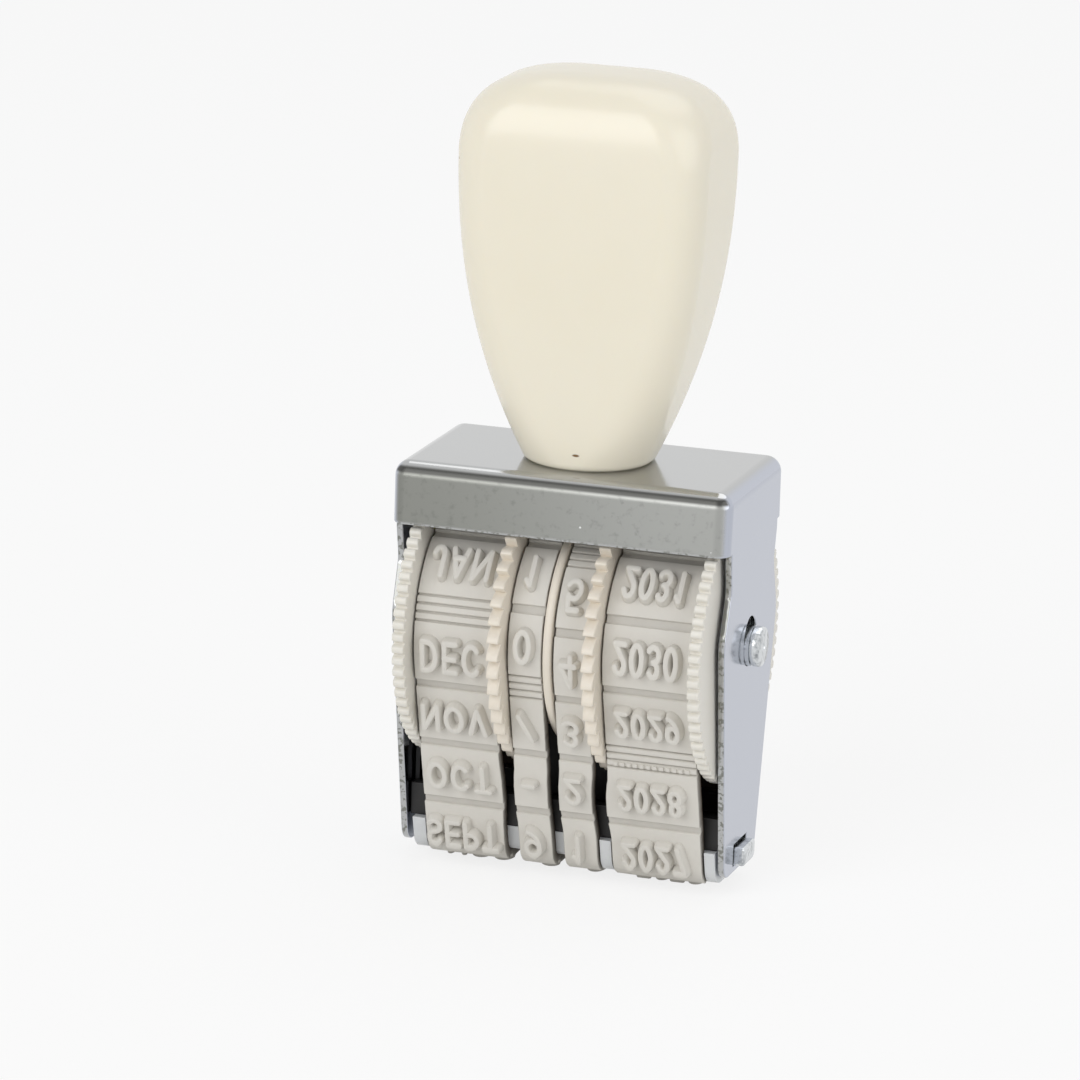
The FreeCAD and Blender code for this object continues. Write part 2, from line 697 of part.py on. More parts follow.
def band_edges(start, end, offset, x):
    """Lines and arcs along the belt between two stations."""
    cuts = [start]
    cuts += [lap * belt_length + knot for lap in (-1, 0, 1) for knot in knots[1:]
             if start + 1e-4 < lap * belt_length + knot < end - 1e-4]
    cuts.append(end)
    edges = []
    for first, last in zip(cuts, cuts[1:]):
        centre = (first + last) / 2
        begin, finish = band_point(first, offset, x), band_point(last, offset, x)
        if heading(centre)[1] is None:
            edges.append(Part.LineSegment(begin, finish).toShape())
        else:
            edges.append(Part.Arc(begin, band_point(centre, offset, x), finish).toShape())
    return edges


def type_block(station, x, width, height):
    """Drafted block that carries one raised character, rooted in its pad."""
    angle = heading(station)[0]
    outward = FreeCAD.Vector(0, math.cos(angle), math.sin(angle))
    along = FreeCAD.Vector(0, math.sin(angle), -math.cos(angle))
    sideways = FreeCAD.Vector(1, 0, 0)
    rings = []
    root, draft = value("Sizes.type_root"), value("Sizes.type_draft")
    for level, spread in ((-root, draft), (value("Sizes.relief"), 0.0)):
        centre = band_point(station, pad_face, x) + outward * level
        half_x, half_s = width / 2 + spread, height / 2 + spread
        rings.append([centre + sideways * (sx * half_x) + along * (sy * half_s)
                      for sx, sy in ((-1, -1), (1, -1), (1, 1), (-1, 1))])
    return faceted(rings)


# Share of the normal width and height that narrow and low characters take
slim = {"1": (0.6, 1.0), "-": (1.0, 0.25)}


def build_band(name, left, width, entries, joint_after, letter, letter_step):
    """Endless band: a smooth inside, a raised pad per entry, and a ribbed joint between two pads."""
    x = value(left)
    span = value(width)
    half_pad = (pad_pitch - value("Sizes.pad_gap")) / 2
    strip = value("Sizes.joint_strip")
    groove = value("Sizes.joint_groove")
    ribs = int(value("Sizes.joint_ribs"))
    rib = (value("Sizes.pad_gap") + strip - (ribs + 1) * groove) / ribs
    centres = [index * pad_pitch + (strip if index > joint_after else 0.0) for index in range(pad_total)]
    profile = []
    for index, centre in enumerate(centres):
        following = centres[index + 1] if index + 1 < pad_total else belt_length
        end, restart = centre + half_pad, following - half_pad
        steps = [(centre - half_pad, end, pad_face)]
        if index == joint_after:
            for _ in range(ribs):
                steps += [(end, end + groove, belt_face), (end + groove, end + groove + rib, pad_face)]
                end += groove + rib
        steps.append((end, restart, belt_face))
        for first, last, offset in steps:
            profile += band_edges(first, last, offset, x)
            wall = Part.LineSegment(band_point(last, belt_face, x), band_point(last, pad_face, x))
            profile.append(wall.toShape())
    outside = Part.Wire(Part.__sortEdges__(profile))
    inside = Part.Wire(Part.__sortEdges__(band_edges(0.0, belt_length, 0.0, x)))
    loop = Part.makeFace([outside, inside], "Part::FaceMakerBullseye").extrude(FreeCAD.Vector(span, 0, 0))
    blocks = []
    for entry, centre in zip(entries, centres):
        room = span - value(letter) - 2 * value("Sizes.type_draft")
        step = min(value(letter_step), room / max(1, len(entry) - 1))
        for place, character in enumerate(entry):
            across, tall = slim.get(character, (1.0, 1.0))
            middle_x = x + span / 2 + (place - (len(entry) - 1) / 2) * step
            letter_height = value("Sizes.type_height") * tall
            blocks.append(type_block(centre, middle_x, value(letter) * across, letter_height))
    add_built(name, loop.fuse(blocks).removeSplitter())


build_frame()
build_axle()
build_ring("axle_spacer", spacer_left, "Sizes.spacer_thickness", "Sizes.spacer_diameter / 2")
outer = ("Sizes.outer_teeth", "Sizes.outer_tooth", fine_tooth)
inner = ("Sizes.inner_teeth", "Sizes.inner_tooth", saw_tooth)
build_wheel("month_wheel", month_flange, "Sizes.month_width", 1, *outer)
build_wheel("tens_wheel", tens_flange, "Sizes.digit_width", 1, *inner)
build_ring("divider_disc", divider_left, "Sizes.divider_thickness", "Sizes.divider_radius")
build_wheel("units_wheel", units_flange, "Sizes.digit_width", -1, *inner)
build_wheel("year_wheel", year_flange, "Sizes.year_width", -1, *outer)
build_bar()
build_platen()
build_bridge()
build_knob()
build_insert()
build_screw()
build_washer()

months = ["AUG", "SEPT", "OCT", "NOV", "DEC", "JAN", "FEB", "MAR", "APR", "MAY", "JUN", "JUL", ""]
tens = ["8", "9", "-", "/", "0", "1", "2", "3", "4", "5", "6", "7", ""]
units = ["0", "1", "2", "3", "4", "5", "6", "7", "8", "9", "-", "/", ""]
years = [str(year) for year in range(2026, 2039)]
build_band("month_band", month_left, "Sizes.month_width", months, 4, "Sizes.month_letter", "Sizes.month_step")
build_band("tens_band", tens_left, "Sizes.digit_width", tens, 3, "Sizes.day_digit", "Sizes.digit_width")
build_band("units_band", units_left, "Sizes.digit_width", units, 5, "Sizes.day_digit", "Sizes.digit_width")
build_band("year_band", year_left, "Sizes.year_width", years, 2, "Sizes.year_digit", "Sizes.year_step")

doc.recompute()
faults = [piece.Name for piece in doc.Objects if {"Invalid", "Error"} & set(piece.State)]
if faults:
    raise RuntimeError(f"faulty objects: {faults}")
os.makedirs("parts", exist_ok=True)
for piece in pieces:
    shape = piece.Shape
    if shape.isNull() or not shape.isValid() or len(shape.Solids) != 1:
        raise RuntimeError(f"{piece.Label} isn't one valid solid")
    shape.exportStep(f"parts/{piece.Label}.step")
    box = shape.BoundBox
    print(f"{piece.Label}: x {box.XMin:.2f}..{box.XMax:.2f}  y {box.YMin:.2f}..{box.YMax:.2f}"
          f"  z {box.ZMin:.2f}..{box.ZMax:.2f}  volume {shape.Volume:.1f}")
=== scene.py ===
import bpy
import bmesh
import math
from mathutils import Matrix, Vector, noise


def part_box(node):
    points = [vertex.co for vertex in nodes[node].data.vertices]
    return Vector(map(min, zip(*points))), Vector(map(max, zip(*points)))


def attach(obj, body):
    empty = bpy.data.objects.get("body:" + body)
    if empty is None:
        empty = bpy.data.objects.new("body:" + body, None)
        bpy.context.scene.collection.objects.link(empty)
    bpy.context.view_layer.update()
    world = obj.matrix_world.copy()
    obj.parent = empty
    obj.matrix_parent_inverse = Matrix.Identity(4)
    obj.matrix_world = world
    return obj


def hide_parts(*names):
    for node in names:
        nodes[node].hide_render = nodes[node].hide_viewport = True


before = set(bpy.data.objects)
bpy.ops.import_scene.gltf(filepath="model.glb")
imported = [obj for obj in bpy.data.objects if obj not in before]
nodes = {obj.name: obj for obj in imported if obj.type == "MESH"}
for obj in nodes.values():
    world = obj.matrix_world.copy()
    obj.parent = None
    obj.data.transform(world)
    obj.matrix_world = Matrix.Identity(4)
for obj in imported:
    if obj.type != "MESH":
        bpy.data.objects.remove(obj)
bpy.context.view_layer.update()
mm = 0.001
mergeDistance = 2e-6
axleLevel = 28.3  # height of the axle's line, in millimetres


def linearColour(hexText):
    channels = [int(hexText[i:i + 2], 16) / 255 for i in (1, 3, 5)]
    return [c / 12.92 if c <= 0.04045 else ((c + 0.055) / 1.055) ** 2.4 for c in channels] + [1.0]


def addNode(tree, kind, settings=None, links=None):
    # settings: the node's own attributes or its sockets' values; links: socket and the output that feeds it
    node = tree.nodes.new(kind)
    for key, setting in (settings or {}).items():
        if isinstance(key, str) and hasattr(node, key):
            setattr(node, key, setting)
        else:
            node.inputs[key].default_value = setting
    for key, source in (links or {}).items():
        tree.links.new(source, node.inputs[key])
    return node


def newMaterial(name):
    # the material, its tree, and the link that gives a texture its place on the object
    material = bpy.data.materials.new(name)
    material.use_nodes = True
    tree = material.node_tree
    tree.nodes.clear()
    return material, tree, {"Vector": addNode(tree, "ShaderNodeTexCoord").outputs["Object"]}


def finishMaterial(tree, shader):
    addNode(tree, "ShaderNodeOutputMaterial", links={"Surface": shader.outputs[0]})


def setMaterial(obj, material):
    obj.data.materials.clear()
    obj.data.materials.append(material)


def perMetre(size):
    # texture scale for a pattern of this size in millimetres
    return 1 / (size * mm)


def clouded(tree, here, size, colours, detail, roughness=0.5):
    # one colour drifting into another, in clouds of this size in millimetres
    cloud = addNode(tree, "ShaderNodeTexNoise",
                    {"Scale": perMetre(size), "Detail": detail, "Roughness": roughness}, here)
    first, second = (linearColour(colour) for colour in colours)
    return addNode(tree, "ShaderNodeMix", {"data_type": "RGBA", 6: first, 7: second},
                   {0: cloud.outputs["Fac"]}).outputs[2]


def relief(tree, here, size, height, strength=0.5, detail=2.0, under=None):
    # uneven surface of this size and height in millimetres, over another where one is given
    pattern = addNode(tree, "ShaderNodeTexNoise", {"Scale": perMetre(size), "Detail": detail}, here)
    links = {"Height": pattern.outputs["Fac"]}
    if under:
        links["Normal"] = under
    return addNode(tree, "ShaderNodeBump", {"Strength": strength, "Distance": height * mm}, links).outputs[0]


print("materials")


def makeKnobPlastic():
    # cream urea, polished by its mould: clear soft reflections, faint clouds and sink waves, a few specks
    look = {"cream": "#F0EAD9", "clouds": "#ECE4CE", "speck": "#A98F62", "mark": "#7A5A34", "roughness": 0.25,
            "cloudSize": 20.0, "waveSize": 11.0, "waveHeight": 0.03, "speckSpacing": 7.0, "speckSize": 0.022,
            "markAt": (0.7, -7.25, 49.9), "markStretch": (1.0, 0.5, 2.6), "markReach": (0.3, 0.5)}
    material, tree, here = newMaterial("mouldedCreamUrea")
    tint = clouded(tree, here, look["cloudSize"], (look["cream"], look["clouds"]), 3.0)
    cells = addNode(tree, "ShaderNodeTexVoronoi", {"Scale": perMetre(look["speckSpacing"])}, here)
    dot = addNode(tree, "ShaderNodeMath", {"operation": "LESS_THAN", 1: look["speckSize"]},
                  {0: cells.outputs["Distance"]})
    specked = addNode(tree, "ShaderNodeMix", {"data_type": "RGBA", 7: linearColour(look["speck"])},
                      {0: dot.outputs[0], 6: tint})
    # the scar of the mould's gate, low on the front
    away = addNode(tree, "ShaderNodeVectorMath", {"operation": "SUBTRACT", 1: Vector(look["markAt"]) * mm},
                   {0: here["Vector"]})
    stretched = addNode(tree, "ShaderNodeVectorMath", {"operation": "MULTIPLY", 1: look["markStretch"]},
                        {0: away.outputs[0]})
    far = addNode(tree, "ShaderNodeVectorMath", {"operation": "LENGTH"}, {0: stretched.outputs[0]})
    full, gone = look["markReach"]
    scar = addNode(tree, "ShaderNodeMapRange",
                   {"From Min": full * mm, "From Max": gone * mm, "To Min": 1.0, "To Max": 0.0},
                   {"Value": far.outputs["Value"]})
    marked = addNode(tree, "ShaderNodeMix", {"data_type": "RGBA", 7: linearColour(look["mark"])},
                     {0: scar.outputs[0], 6: specked.outputs[2]})
    skin = relief(tree, here, look["waveSize"], look["waveHeight"], detail=1.0)
    shader = addNode(tree, "ShaderNodeBsdfPrincipled",
                     {"Roughness": look["roughness"], "IOR": 1.55, "Subsurface Weight": 0.1,
                      "Subsurface Radius": (1.0, 0.8, 0.5), "Subsurface Scale": 0.0012},
                     {"Base Color": marked.outputs[2], "Normal": skin})
    finishMaterial(tree, shader)
    return material


def makeChrome():
    # bright nickel-chrome on pressed sheet: mirror-like top, sides leaning into a painted cool reflection,
    # lips dulled and mottled by the press, painted lighter towards their right end and with painted glints,
    # a painted dark reflection along the bends, and speckles where the sheet was sheared
    look = {"top": "#B3B4B4", "side": "#B7BBC6", "lipLeft": "#868782", "lipRight": "#A2A3A0",
            "paintedBendShade": "#4B4B49", "sheared": "#83847F", "paintedGlint": "#DADBDB", "lipFrom": 41.0, "lipFade": 0.3,
            "halfWidth": 20.0, "mottle": 1.1, "mottleShare": 0.25, "fleck": 0.45, "pitSpacing": 4.2,
            "pitSize": 0.035, "waveSize": 7.0, "waveHeight": 0.02, "grain": 0.35, "grainHeight": 0.004,
            "bright": 0.13, "dull": 0.36}
    material, tree, here = newMaterial("brightChromePlate")
    spot = addNode(tree, "ShaderNodeSeparateXYZ", links=here)
    facing = addNode(tree, "ShaderNodeNewGeometry")
    normal = addNode(tree, "ShaderNodeSeparateXYZ", links={0: facing.outputs["Normal"]})
    sideways, frontal = (addNode(tree, "ShaderNodeMath", {"operation": "ABSOLUTE"}, {0: normal.outputs[axis]})
                         for axis in ("X", "Y"))
    blotch = addNode(tree, "ShaderNodeTexNoise",
                     {"Scale": perMetre(look["mottle"]), "Detail": 5.0, "Roughness": 0.65}, here)
    fleck = addNode(tree, "ShaderNodeTexNoise", {"Scale": perMetre(look["fleck"]), "Detail": 3.0}, here)
    pits = addNode(tree, "ShaderNodeTexVoronoi", {"Scale": perMetre(look["pitSpacing"])}, here)
    pit = addNode(tree, "ShaderNodeMath", {"operation": "LESS_THAN", 1: look["pitSize"]},
                  {0: pits.outputs["Distance"]})
    # where on the sheet each finish or painted light lies: each share rises from 0 to 1 between two readings
    lip, half = look["lipFrom"], look["halfWidth"] * mm
    shares = {"pit": pit.outputs[0]}
    for name, source, low, high in (
            ("high", spot.outputs["Z"], lip * mm, (lip + look["lipFade"]) * mm),
            # painted light: the lip is painted darker at its left end and lighter at its right
            ("across", spot.outputs["X"], -half, half),
            # painted reflection: the sides take a cool cast by how far they lean
            ("upright", frontal.outputs[0], 0.6, 0.9), ("paintedSideReflection", sideways.outputs[0], 0.3, 0.8),
            ("blotched", blotch.outputs["Fac"], 0.52, 0.72), ("flecked", fleck.outputs["Fac"], 0.5, 0.6),
            ("tipped", normal.outputs["Z"], 0.2, 0.42), ("notFlat", normal.outputs["Z"], 0.8, 0.6),
            ("forward", frontal.outputs[0], 0.35, 0.6), ("edge", frontal.outputs[0], 0.7, 0.95)):
        ramp = addNode(tree, "ShaderNodeMapRange",
                       {"interpolation_type": "SMOOTHSTEP", "From Min": low, "From Max": high},
                       {"Value": source})
        shares[name] = ramp.outputs[0]
    below = addNode(tree, "ShaderNodeMath", {"operation": "SUBTRACT", 0: 1.0}, {1: shares["high"]})
    shares["below"] = below.outputs[0]
    for name, first, second in (
            ("lip", "upright", "high"), ("mottled", "blotched", "lip"), ("turning", "tipped", "notFlat"),
            # painted shade: a dark reflection along the forward-facing bends; its colour also serves the
            # lip's real mottle
            ("paintedBendShade", "turning", "forward"), ("lowEdge", "edge", "below"), ("sheared", "lowEdge", "flecked"),
            # painted glints: bright dots among the lip's pits
            ("paintedGlint", "pit", "lip")):
        both = addNode(tree, "ShaderNodeMath", {"operation": "MULTIPLY"},
                       {0: shares[first], 1: shares[second]})
        shares[name] = both.outputs[0]
    faint = addNode(tree, "ShaderNodeMath", {"operation": "MULTIPLY", 1: look["mottleShare"]},
                    {0: shares["mottled"]})
    shares["mottled"] = faint.outputs[0]
    # each tone goes from one colour or earlier tone to another
    tones = {}
    for name, share, under, over in (
            ("plain", "paintedSideReflection", "top", "side"), ("lipPaintedLightTone", "across", "lipLeft", "lipRight"),
            ("lipMottled", "mottled", "lipPaintedLightTone", "paintedBendShade"), ("coloured", "lip", "plain", "lipMottled"),
            ("withBendShade", "paintedBendShade", "coloured", "paintedBendShade"), ("cut", "sheared", "withBendShade", "sheared"),
            ("finished", "paintedGlint", "cut", "paintedGlint")):
        mixed = addNode(tree, "ShaderNodeMix", {"data_type": "RGBA"}, {0: shares[share]})
        for socket, tone in ((6, under), (7, over)):
            if tone in tones:
                tree.links.new(tones[tone], mixed.inputs[socket])
            else:
                mixed.inputs[socket].default_value = linearColour(look[tone])
        tones[name] = mixed.outputs[2]
    rough = addNode(tree, "ShaderNodeMapRange", {"To Min": look["bright"], "To Max": look["dull"]},
                    {"Value": shares["lip"]})
    waves = relief(tree, here, look["waveSize"], look["waveHeight"])
    skin = relief(tree, here, look["grain"], look["grainHeight"], 0.25, under=waves)
    shader = addNode(tree, "ShaderNodeBsdfPrincipled", {"Metallic": 1.0},
                     {"Base Color": tones["finished"], "Roughness": rough.outputs[0], "Normal": skin})
    finishMaterial(tree, shader)
    return material


def makeRubber():
    # vulcanised type rubber: matt and dusty, warm grey, ink-brown stain together with painted shade on its
    # cloth lining, its side edges, in the grooves and at the feet of the characters,
    # with a grain drawn coarser than the real one, so that it shows
    look = {"rubber": "#DEDBD4", "shade": "#D3CFC7", "stainAndShade": "#43382C", "roughness": 0.78, "clouds": 5.0,
            "grain": 0.16, "grainHeight": 0.012}
    material, tree, here = newMaterial("vulcanisedGreyRubber")
    tint = clouded(tree, here, look["clouds"], (look["rubber"], look["shade"]), 5.0, 0.65)
    stainAndShade = addNode(tree, "ShaderNodeAttribute", {"attribute_name": "stainAndShade"})
    stainedAndShaded = addNode(tree, "ShaderNodeMix", {"data_type": "RGBA", 7: linearColour(look["stainAndShade"])},
                    {0: stainAndShade.outputs["Fac"], 6: tint})
    skin = relief(tree, here, look["grain"], look["grainHeight"], 0.6)
    shader = addNode(tree, "ShaderNodeBsdfPrincipled",
                     {"Roughness": look["roughness"], "IOR": 1.5, "Specular IOR Level": 0.35},
                     {"Base Color": stainedAndShaded.outputs[2], "Normal": skin})
    finishMaterial(tree, shader)
    return material


def makeMoulded(name, colours, roughness, cloudSize, grainHeight, subsurface=0.0):
    # injection-moulded plastic: even colour with faint flow clouds and the grain of an eroded mould,
    # drawn coarser than the real one, so that it shows
    grainSize = 0.22
    material, tree, here = newMaterial(name)
    tint = clouded(tree, here, cloudSize, colours, 4.0)
    skin = relief(tree, here, grainSize, grainHeight)
    shader = addNode(tree, "ShaderNodeBsdfPrincipled",
                     {"Roughness": roughness, "IOR": 1.49, "Subsurface Weight": subsurface,
                      "Subsurface Radius": (1.0, 0.9, 0.7), "Subsurface Scale": 0.0008},
                     {"Base Color": tint, "Normal": skin})
    finishMaterial(tree, shader)
    return material


def makeTurned(name, colours, roughness):
    # lathe-turned bar: bright, with fine rings along its axis and dark patches that are partly a smoky film
    # and partly a painted dark reflection
    look = {"ringSize": 0.25, "ringHeight": 0.01, "ringStretch": (1.0, 0.05, 0.05), "patchSize": 1.2}
    material, tree, here = newMaterial(name)
    along = addNode(tree, "ShaderNodeMapping", {"Scale": look["ringStretch"]}, here)
    patchNoise = addNode(tree, "ShaderNodeTexNoise",
                   {"Scale": perMetre(look["patchSize"]), "Detail": 4.0, "Roughness": 0.7}, here)
    share = addNode(tree, "ShaderNodeMapRange", {"From Min": 0.5, "From Max": 0.72},
                    {"Value": patchNoise.outputs["Fac"]})
    # dark patches: a smoky film together with a painted dark reflection
    bare, darkFilmAndReflection = (linearColour(colour) for colour in colours)
    tint = addNode(tree, "ShaderNodeMix", {"data_type": "RGBA", 6: bare, 7: darkFilmAndReflection}, {0: share.outputs[0]})
    skin = relief(tree, {"Vector": along.outputs[0]}, look["ringSize"], look["ringHeight"], 0.4, 3.0)
    shader = addNode(tree, "ShaderNodeBsdfPrincipled", {"Metallic": 1.0, "Roughness": roughness},
                     {"Base Color": tint.outputs[2], "Normal": skin})
    finishMaterial(tree, shader)
    return material


knobPlastic = makeKnobPlastic()
chrome = makeChrome()
typeRubber = makeRubber()
turnedSteel = makeTurned("turnedSteel", ("#D3D6D8", "#8C9093"), 0.16)
brass = makeTurned("turnedBrass", ("#C9A65A", "#9A7B3C"), 0.25)
outerPlastic = makeMoulded("whitePolypropylene", ("#E9E6DE", "#E1DDD3"), 0.4, 6.0, 0.006, 0.08)
innerPlastic = makeMoulded("ivoryPolypropylene", ("#EAE2D5", "#E2D9CA"), 0.42, 6.0, 0.006, 0.08)
platenPlastic = makeMoulded("coolWhiteNylon", ("#DDDFE0", "#CFD1D2"), 0.4, 3.0, 0.006, 0.05)
bridgePlastic = makeMoulded("blackMouldedAcetal", ("#100F0F", "#181614"), 0.48, 2.0, 0.01)


def linkPiece(name, data):
    piece = bpy.data.objects.new(name, data)
    bpy.context.scene.collection.objects.link(piece)
    return piece


def tidyMesh(mesh, sharpAngle):
    # doubles merged and faces turned outwards, then shaded smooth up to the given angle
    work = bmesh.new()
    work.from_mesh(mesh)
    bmesh.ops.remove_doubles(work, verts=work.verts, dist=mergeDistance)
    bmesh.ops.recalc_face_normals(work, faces=work.faces)
    work.to_mesh(mesh)
    work.free()
    mesh.shade_smooth()
    mesh.set_sharp_from_angle(angle=math.radians(sharpAngle))


def makeMesh(name, points, faces, sharpAngle=35.0, stainAndShade=None):
    # points in millimetres
    mesh = bpy.data.meshes.new(name)
    mesh.from_pydata([Vector(p) * mm for p in points], [], faces)
    if stainAndShade:
        mesh.attributes.new("stainAndShade", "FLOAT", "POINT").data.foreach_set("value", stainAndShade)
    tidyMesh(mesh, sharpAngle)
    return mesh


def joinMeshes(name, meshes, sharpAngle):
    work = bmesh.new()
    for mesh in meshes:
        work.from_mesh(mesh)
    for face in work.faces:
        face.material_index = 0
    joined = bpy.data.meshes.new(name)
    work.to_mesh(joined)
    work.free()
    tidyMesh(joined, sharpAngle)
    return joined


def addShape(points, faces, morePoints, moreFaces):
    # a second shape into the same lists, its faces counted on from the first one's points
    faces += [tuple(i + len(points) for i in face) for face in moreFaces]
    points += morePoints


def bridgeRings(rings, closed=False, capped=False):
    # faces between rings of equally many points, each ring a closed loop
    count = len(rings[0])
    points = [p for ring in rings for p in ring]
    faces = []
    for i in range(len(rings) if closed else len(rings) - 1):
        a, b = i * count, (i + 1) % len(rings) * count
        faces += [(a + j, a + (j + 1) % count, b + (j + 1) % count, b + j) for j in range(count)]
    if capped:
        faces += [tuple(range(count)), tuple(range(len(points) - count, len(points)))]
    return points, faces


def lathed(profile, segments, closed=True):
    # profile of (x, radius) turned about the axle's line, closed on itself or from pole to pole
    turns = [2 * math.pi * k / segments for k in range(segments)]
    rings = [[(x, r * math.cos(t), axleLevel + r * math.sin(t)) for t in turns] for x, r in profile]
    return bridgeRings(rings, closed)


def nodeBox(name):
    low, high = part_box(name)
    return low / mm, high / mm


def settle(name, mesh, material, body, replaced, slotName):
    piece = linkPiece(name, mesh)
    setMaterial(piece, material)
    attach(piece, body)
    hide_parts(replaced)


print("type bands")
beltPath = {"flatHalf": 3.72, "cornerRadius": 1.5, "cornerLevel": 3.85, "drumRadius": 11.55, "cordDepth": 0.3}
# the stain-and-shade shares darken the lining, side edges and groove floors: ink stain together with painted
# shade
beltForm = {"padHeight": 1.25, "grooveFloor": 0.87, "pads": 13, "padGap": 0.9, "jointStrip": 2.0,
            "jointRibs": 3, "jointGroove": 0.2, "ribHeight": 1.2, "edgeRound": 0.09, "edgeSlope": 0.02,
            "stepAlong": 0.6, "stepAcross": 0.8, "wobble": 0.02, "wobblePerMm": (0.7, 0.6), "ragged": 0.05,
            "raggedPerMm": 1.7, "strayRise": (5.7, 9.2), "strayFall": (11.0, 14.4), "liningStainAndShade": 1.0,
            "edgeStainAndShade": 0.5, "grooveStainAndShade": 0.16, "sharpAngle": 38}


def beltStretches():
    path = beltPath
    drop = axleLevel - path["cornerLevel"]
    reach = math.hypot(path["flatHalf"], drop)
    lean = math.asin((path["drumRadius"] - path["cornerRadius"]) / reach) - math.atan2(path["flatHalf"], drop)
    run = math.sqrt(reach ** 2 - (path["drumRadius"] - path["cornerRadius"]) ** 2)
    corner = (math.pi / 2 - lean) * (path["cornerRadius"] + path["cordDepth"])
    drum = (math.pi + 2 * lean) * (path["drumRadius"] + path["cordDepth"])
    return lean, [path["flatHalf"], corner, run, drum, run, corner, path["flatHalf"]]


slant, stretches = beltStretches()
beltLength = sum(stretches)
padPitch = (beltLength - beltForm["jointStrip"]) / beltForm["pads"]


def beltSpot(station, offset):
    # y and z of a point on a band: station along its cords from the printing line, offset out from its lining
    path, left = beltPath, station % beltLength
    index = 0
    while index < 6 and left > stretches[index]:
        left -= stretches[index]
        index += 1
    corner, drum = path["cornerRadius"], path["drumRadius"]
    arcs = {1: (-path["flatHalf"], path["cornerLevel"], corner, -math.pi / 2),
            3: (0.0, axleLevel, drum, math.pi + slant),
            5: (path["flatHalf"], path["cornerLevel"], corner, -slant)}
    if index in arcs:
        y, z, radius, start = arcs[index]
        angle = start - left / (radius + path["cordDepth"])
        return y + (radius + offset) * math.cos(angle), z + (radius + offset) * math.sin(angle)
    if index in (0, 6):
        y = -left if index == 0 else path["flatHalf"] - left
        return y, path["cornerLevel"] - corner - offset
    if index == 2:
        angle = math.pi + slant
        y = -path["flatHalf"] + corner * math.cos(angle) - left * math.sin(slant)
        z = path["cornerLevel"] + corner * math.sin(angle) + left * math.cos(slant)
    else:
        angle = -slant
        y = drum * math.cos(angle) - left * math.sin(slant)
        z = axleLevel + drum * math.sin(angle) - left * math.cos(slant)
    return y + offset * math.cos(angle), z + offset * math.sin(angle)


def padCentres(jointAfter):
    strip = beltForm["jointStrip"]
    return [k * padPitch + (strip if k > jointAfter else 0.0) for k in range(beltForm["pads"])]


def jointRibStarts(jointAfter):
    form = beltForm
    groove, ribs = form["jointGroove"], form["jointRibs"]
    start = padCentres(jointAfter)[jointAfter] + (padPitch - form["padGap"]) / 2 + groove
    rib = (form["padGap"] + form["jointStrip"] - (ribs + 1) * groove) / ribs
    return [start + n * (rib + groove) for n in range(ribs)], rib


def beltRows(jointAfter):
    # (station, offset) along the outside, with every raised stretch rounded at its two ends
    form, rows = beltForm, []
    half, floor = (padPitch - form["padGap"]) / 2, form["grooveFloor"]
    rounding, slope = form["edgeRound"], form["edgeSlope"]

    def raised(start, end, top):
        flat = end - start - 2 * rounding
        count = max(2, round(flat / form["stepAlong"]))
        rows.append((start, floor))
        rows.append((start + slope, top - rounding))
        rows.extend((start + rounding + flat * k / count, top) for k in range(count + 1))
        rows.append((end - slope, top - rounding))
        rows.append((end, floor))

    for k, centre in enumerate(padCentres(jointAfter)):
        raised(centre - half, centre + half, form["padHeight"])
        if k == jointAfter:
            starts, rib = jointRibStarts(jointAfter)
            for start in starts:
                raised(start, start + rib, form["ribHeight"])
        else:
            rows.append((centre + half + form["padGap"] / 2, floor))
    return rows


def smoothStep(low, high, where):
    share = min(1.0, max(0.0, (where - low) / (high - low)))
    return share * share * (3 - 2 * share)


def wander(drift, y, z):
    # how far a band's two edges stray sideways in its free run, between the platen's guides and the wheels
    free = smoothStep(*beltForm["strayRise"], z) * (1 - smoothStep(*beltForm["strayFall"], z))
    left, right = drift["front"] if y < 0 else drift["back"]
    return left * free, right * free


def beltMesh(left, right, band, seed):
    form = beltForm
    rounding, edgeStainAndShade, liningStainAndShade = form["edgeRound"], form["edgeStainAndShade"], form["liningStainAndShade"]
    across, along = form["wobblePerMm"]
    columns = max(3, round((right - left) / form["stepAcross"]))
    inner = [left + rounding + (right - left - 2 * rounding) * k / columns for k in range(columns + 1)]
    rings, stainAndShade = [], []
    for station, offset in beltRows(band["jointAfter"]):
        ring = []
        # groove floors take ink stain together with painted shade
        grooveFloorStainAndShade = form["grooveStainAndShade"] if offset == form["grooveFloor"] else 0.0
        # lining and side edges take ink stain together with painted shade
        section = [(left, 0.0, liningStainAndShade), (left, offset - rounding, edgeStainAndShade)]
        section += [(x, offset, grooveFloorStainAndShade) for x in inner]
        section += [(right, offset - rounding, edgeStainAndShade), (right, 0.0, liningStainAndShade)]
        for x, height, stainShadeShare in section:
            bump = 0.0
            if height:
                bump = form["wobble"] * noise.noise(Vector((x * across + seed, station * along, 0.0)))
            y, z = beltSpot(station, height + bump)
            leftDrift, rightDrift = wander(band["drift"], y, z)
            share = (x - left) / (right - left)
            ragged = 0.0
            if x in (left, right):
                ragged = form["ragged"] * noise.noise(Vector((x, station * form["raggedPerMm"], seed)))
            ring.append((x + leftDrift * (1 - share) + rightDrift * share + ragged, y, z))
            stainAndShade.append(stainShadeShare)
        rings.append(ring)
    points, faces = bridgeRings(rings, closed=True)
    return points, faces, stainAndShade


def arc(centreU, centreV, radiusU, radiusV, start, end):
    count = max(3, math.ceil(abs(end - start) / 16))
    turns = [math.radians(start + (end - start) * k / count) for k in range(count + 1)]
    return [(centreU + radiusU * math.cos(t), centreV + radiusV * math.sin(t)) for t in turns]


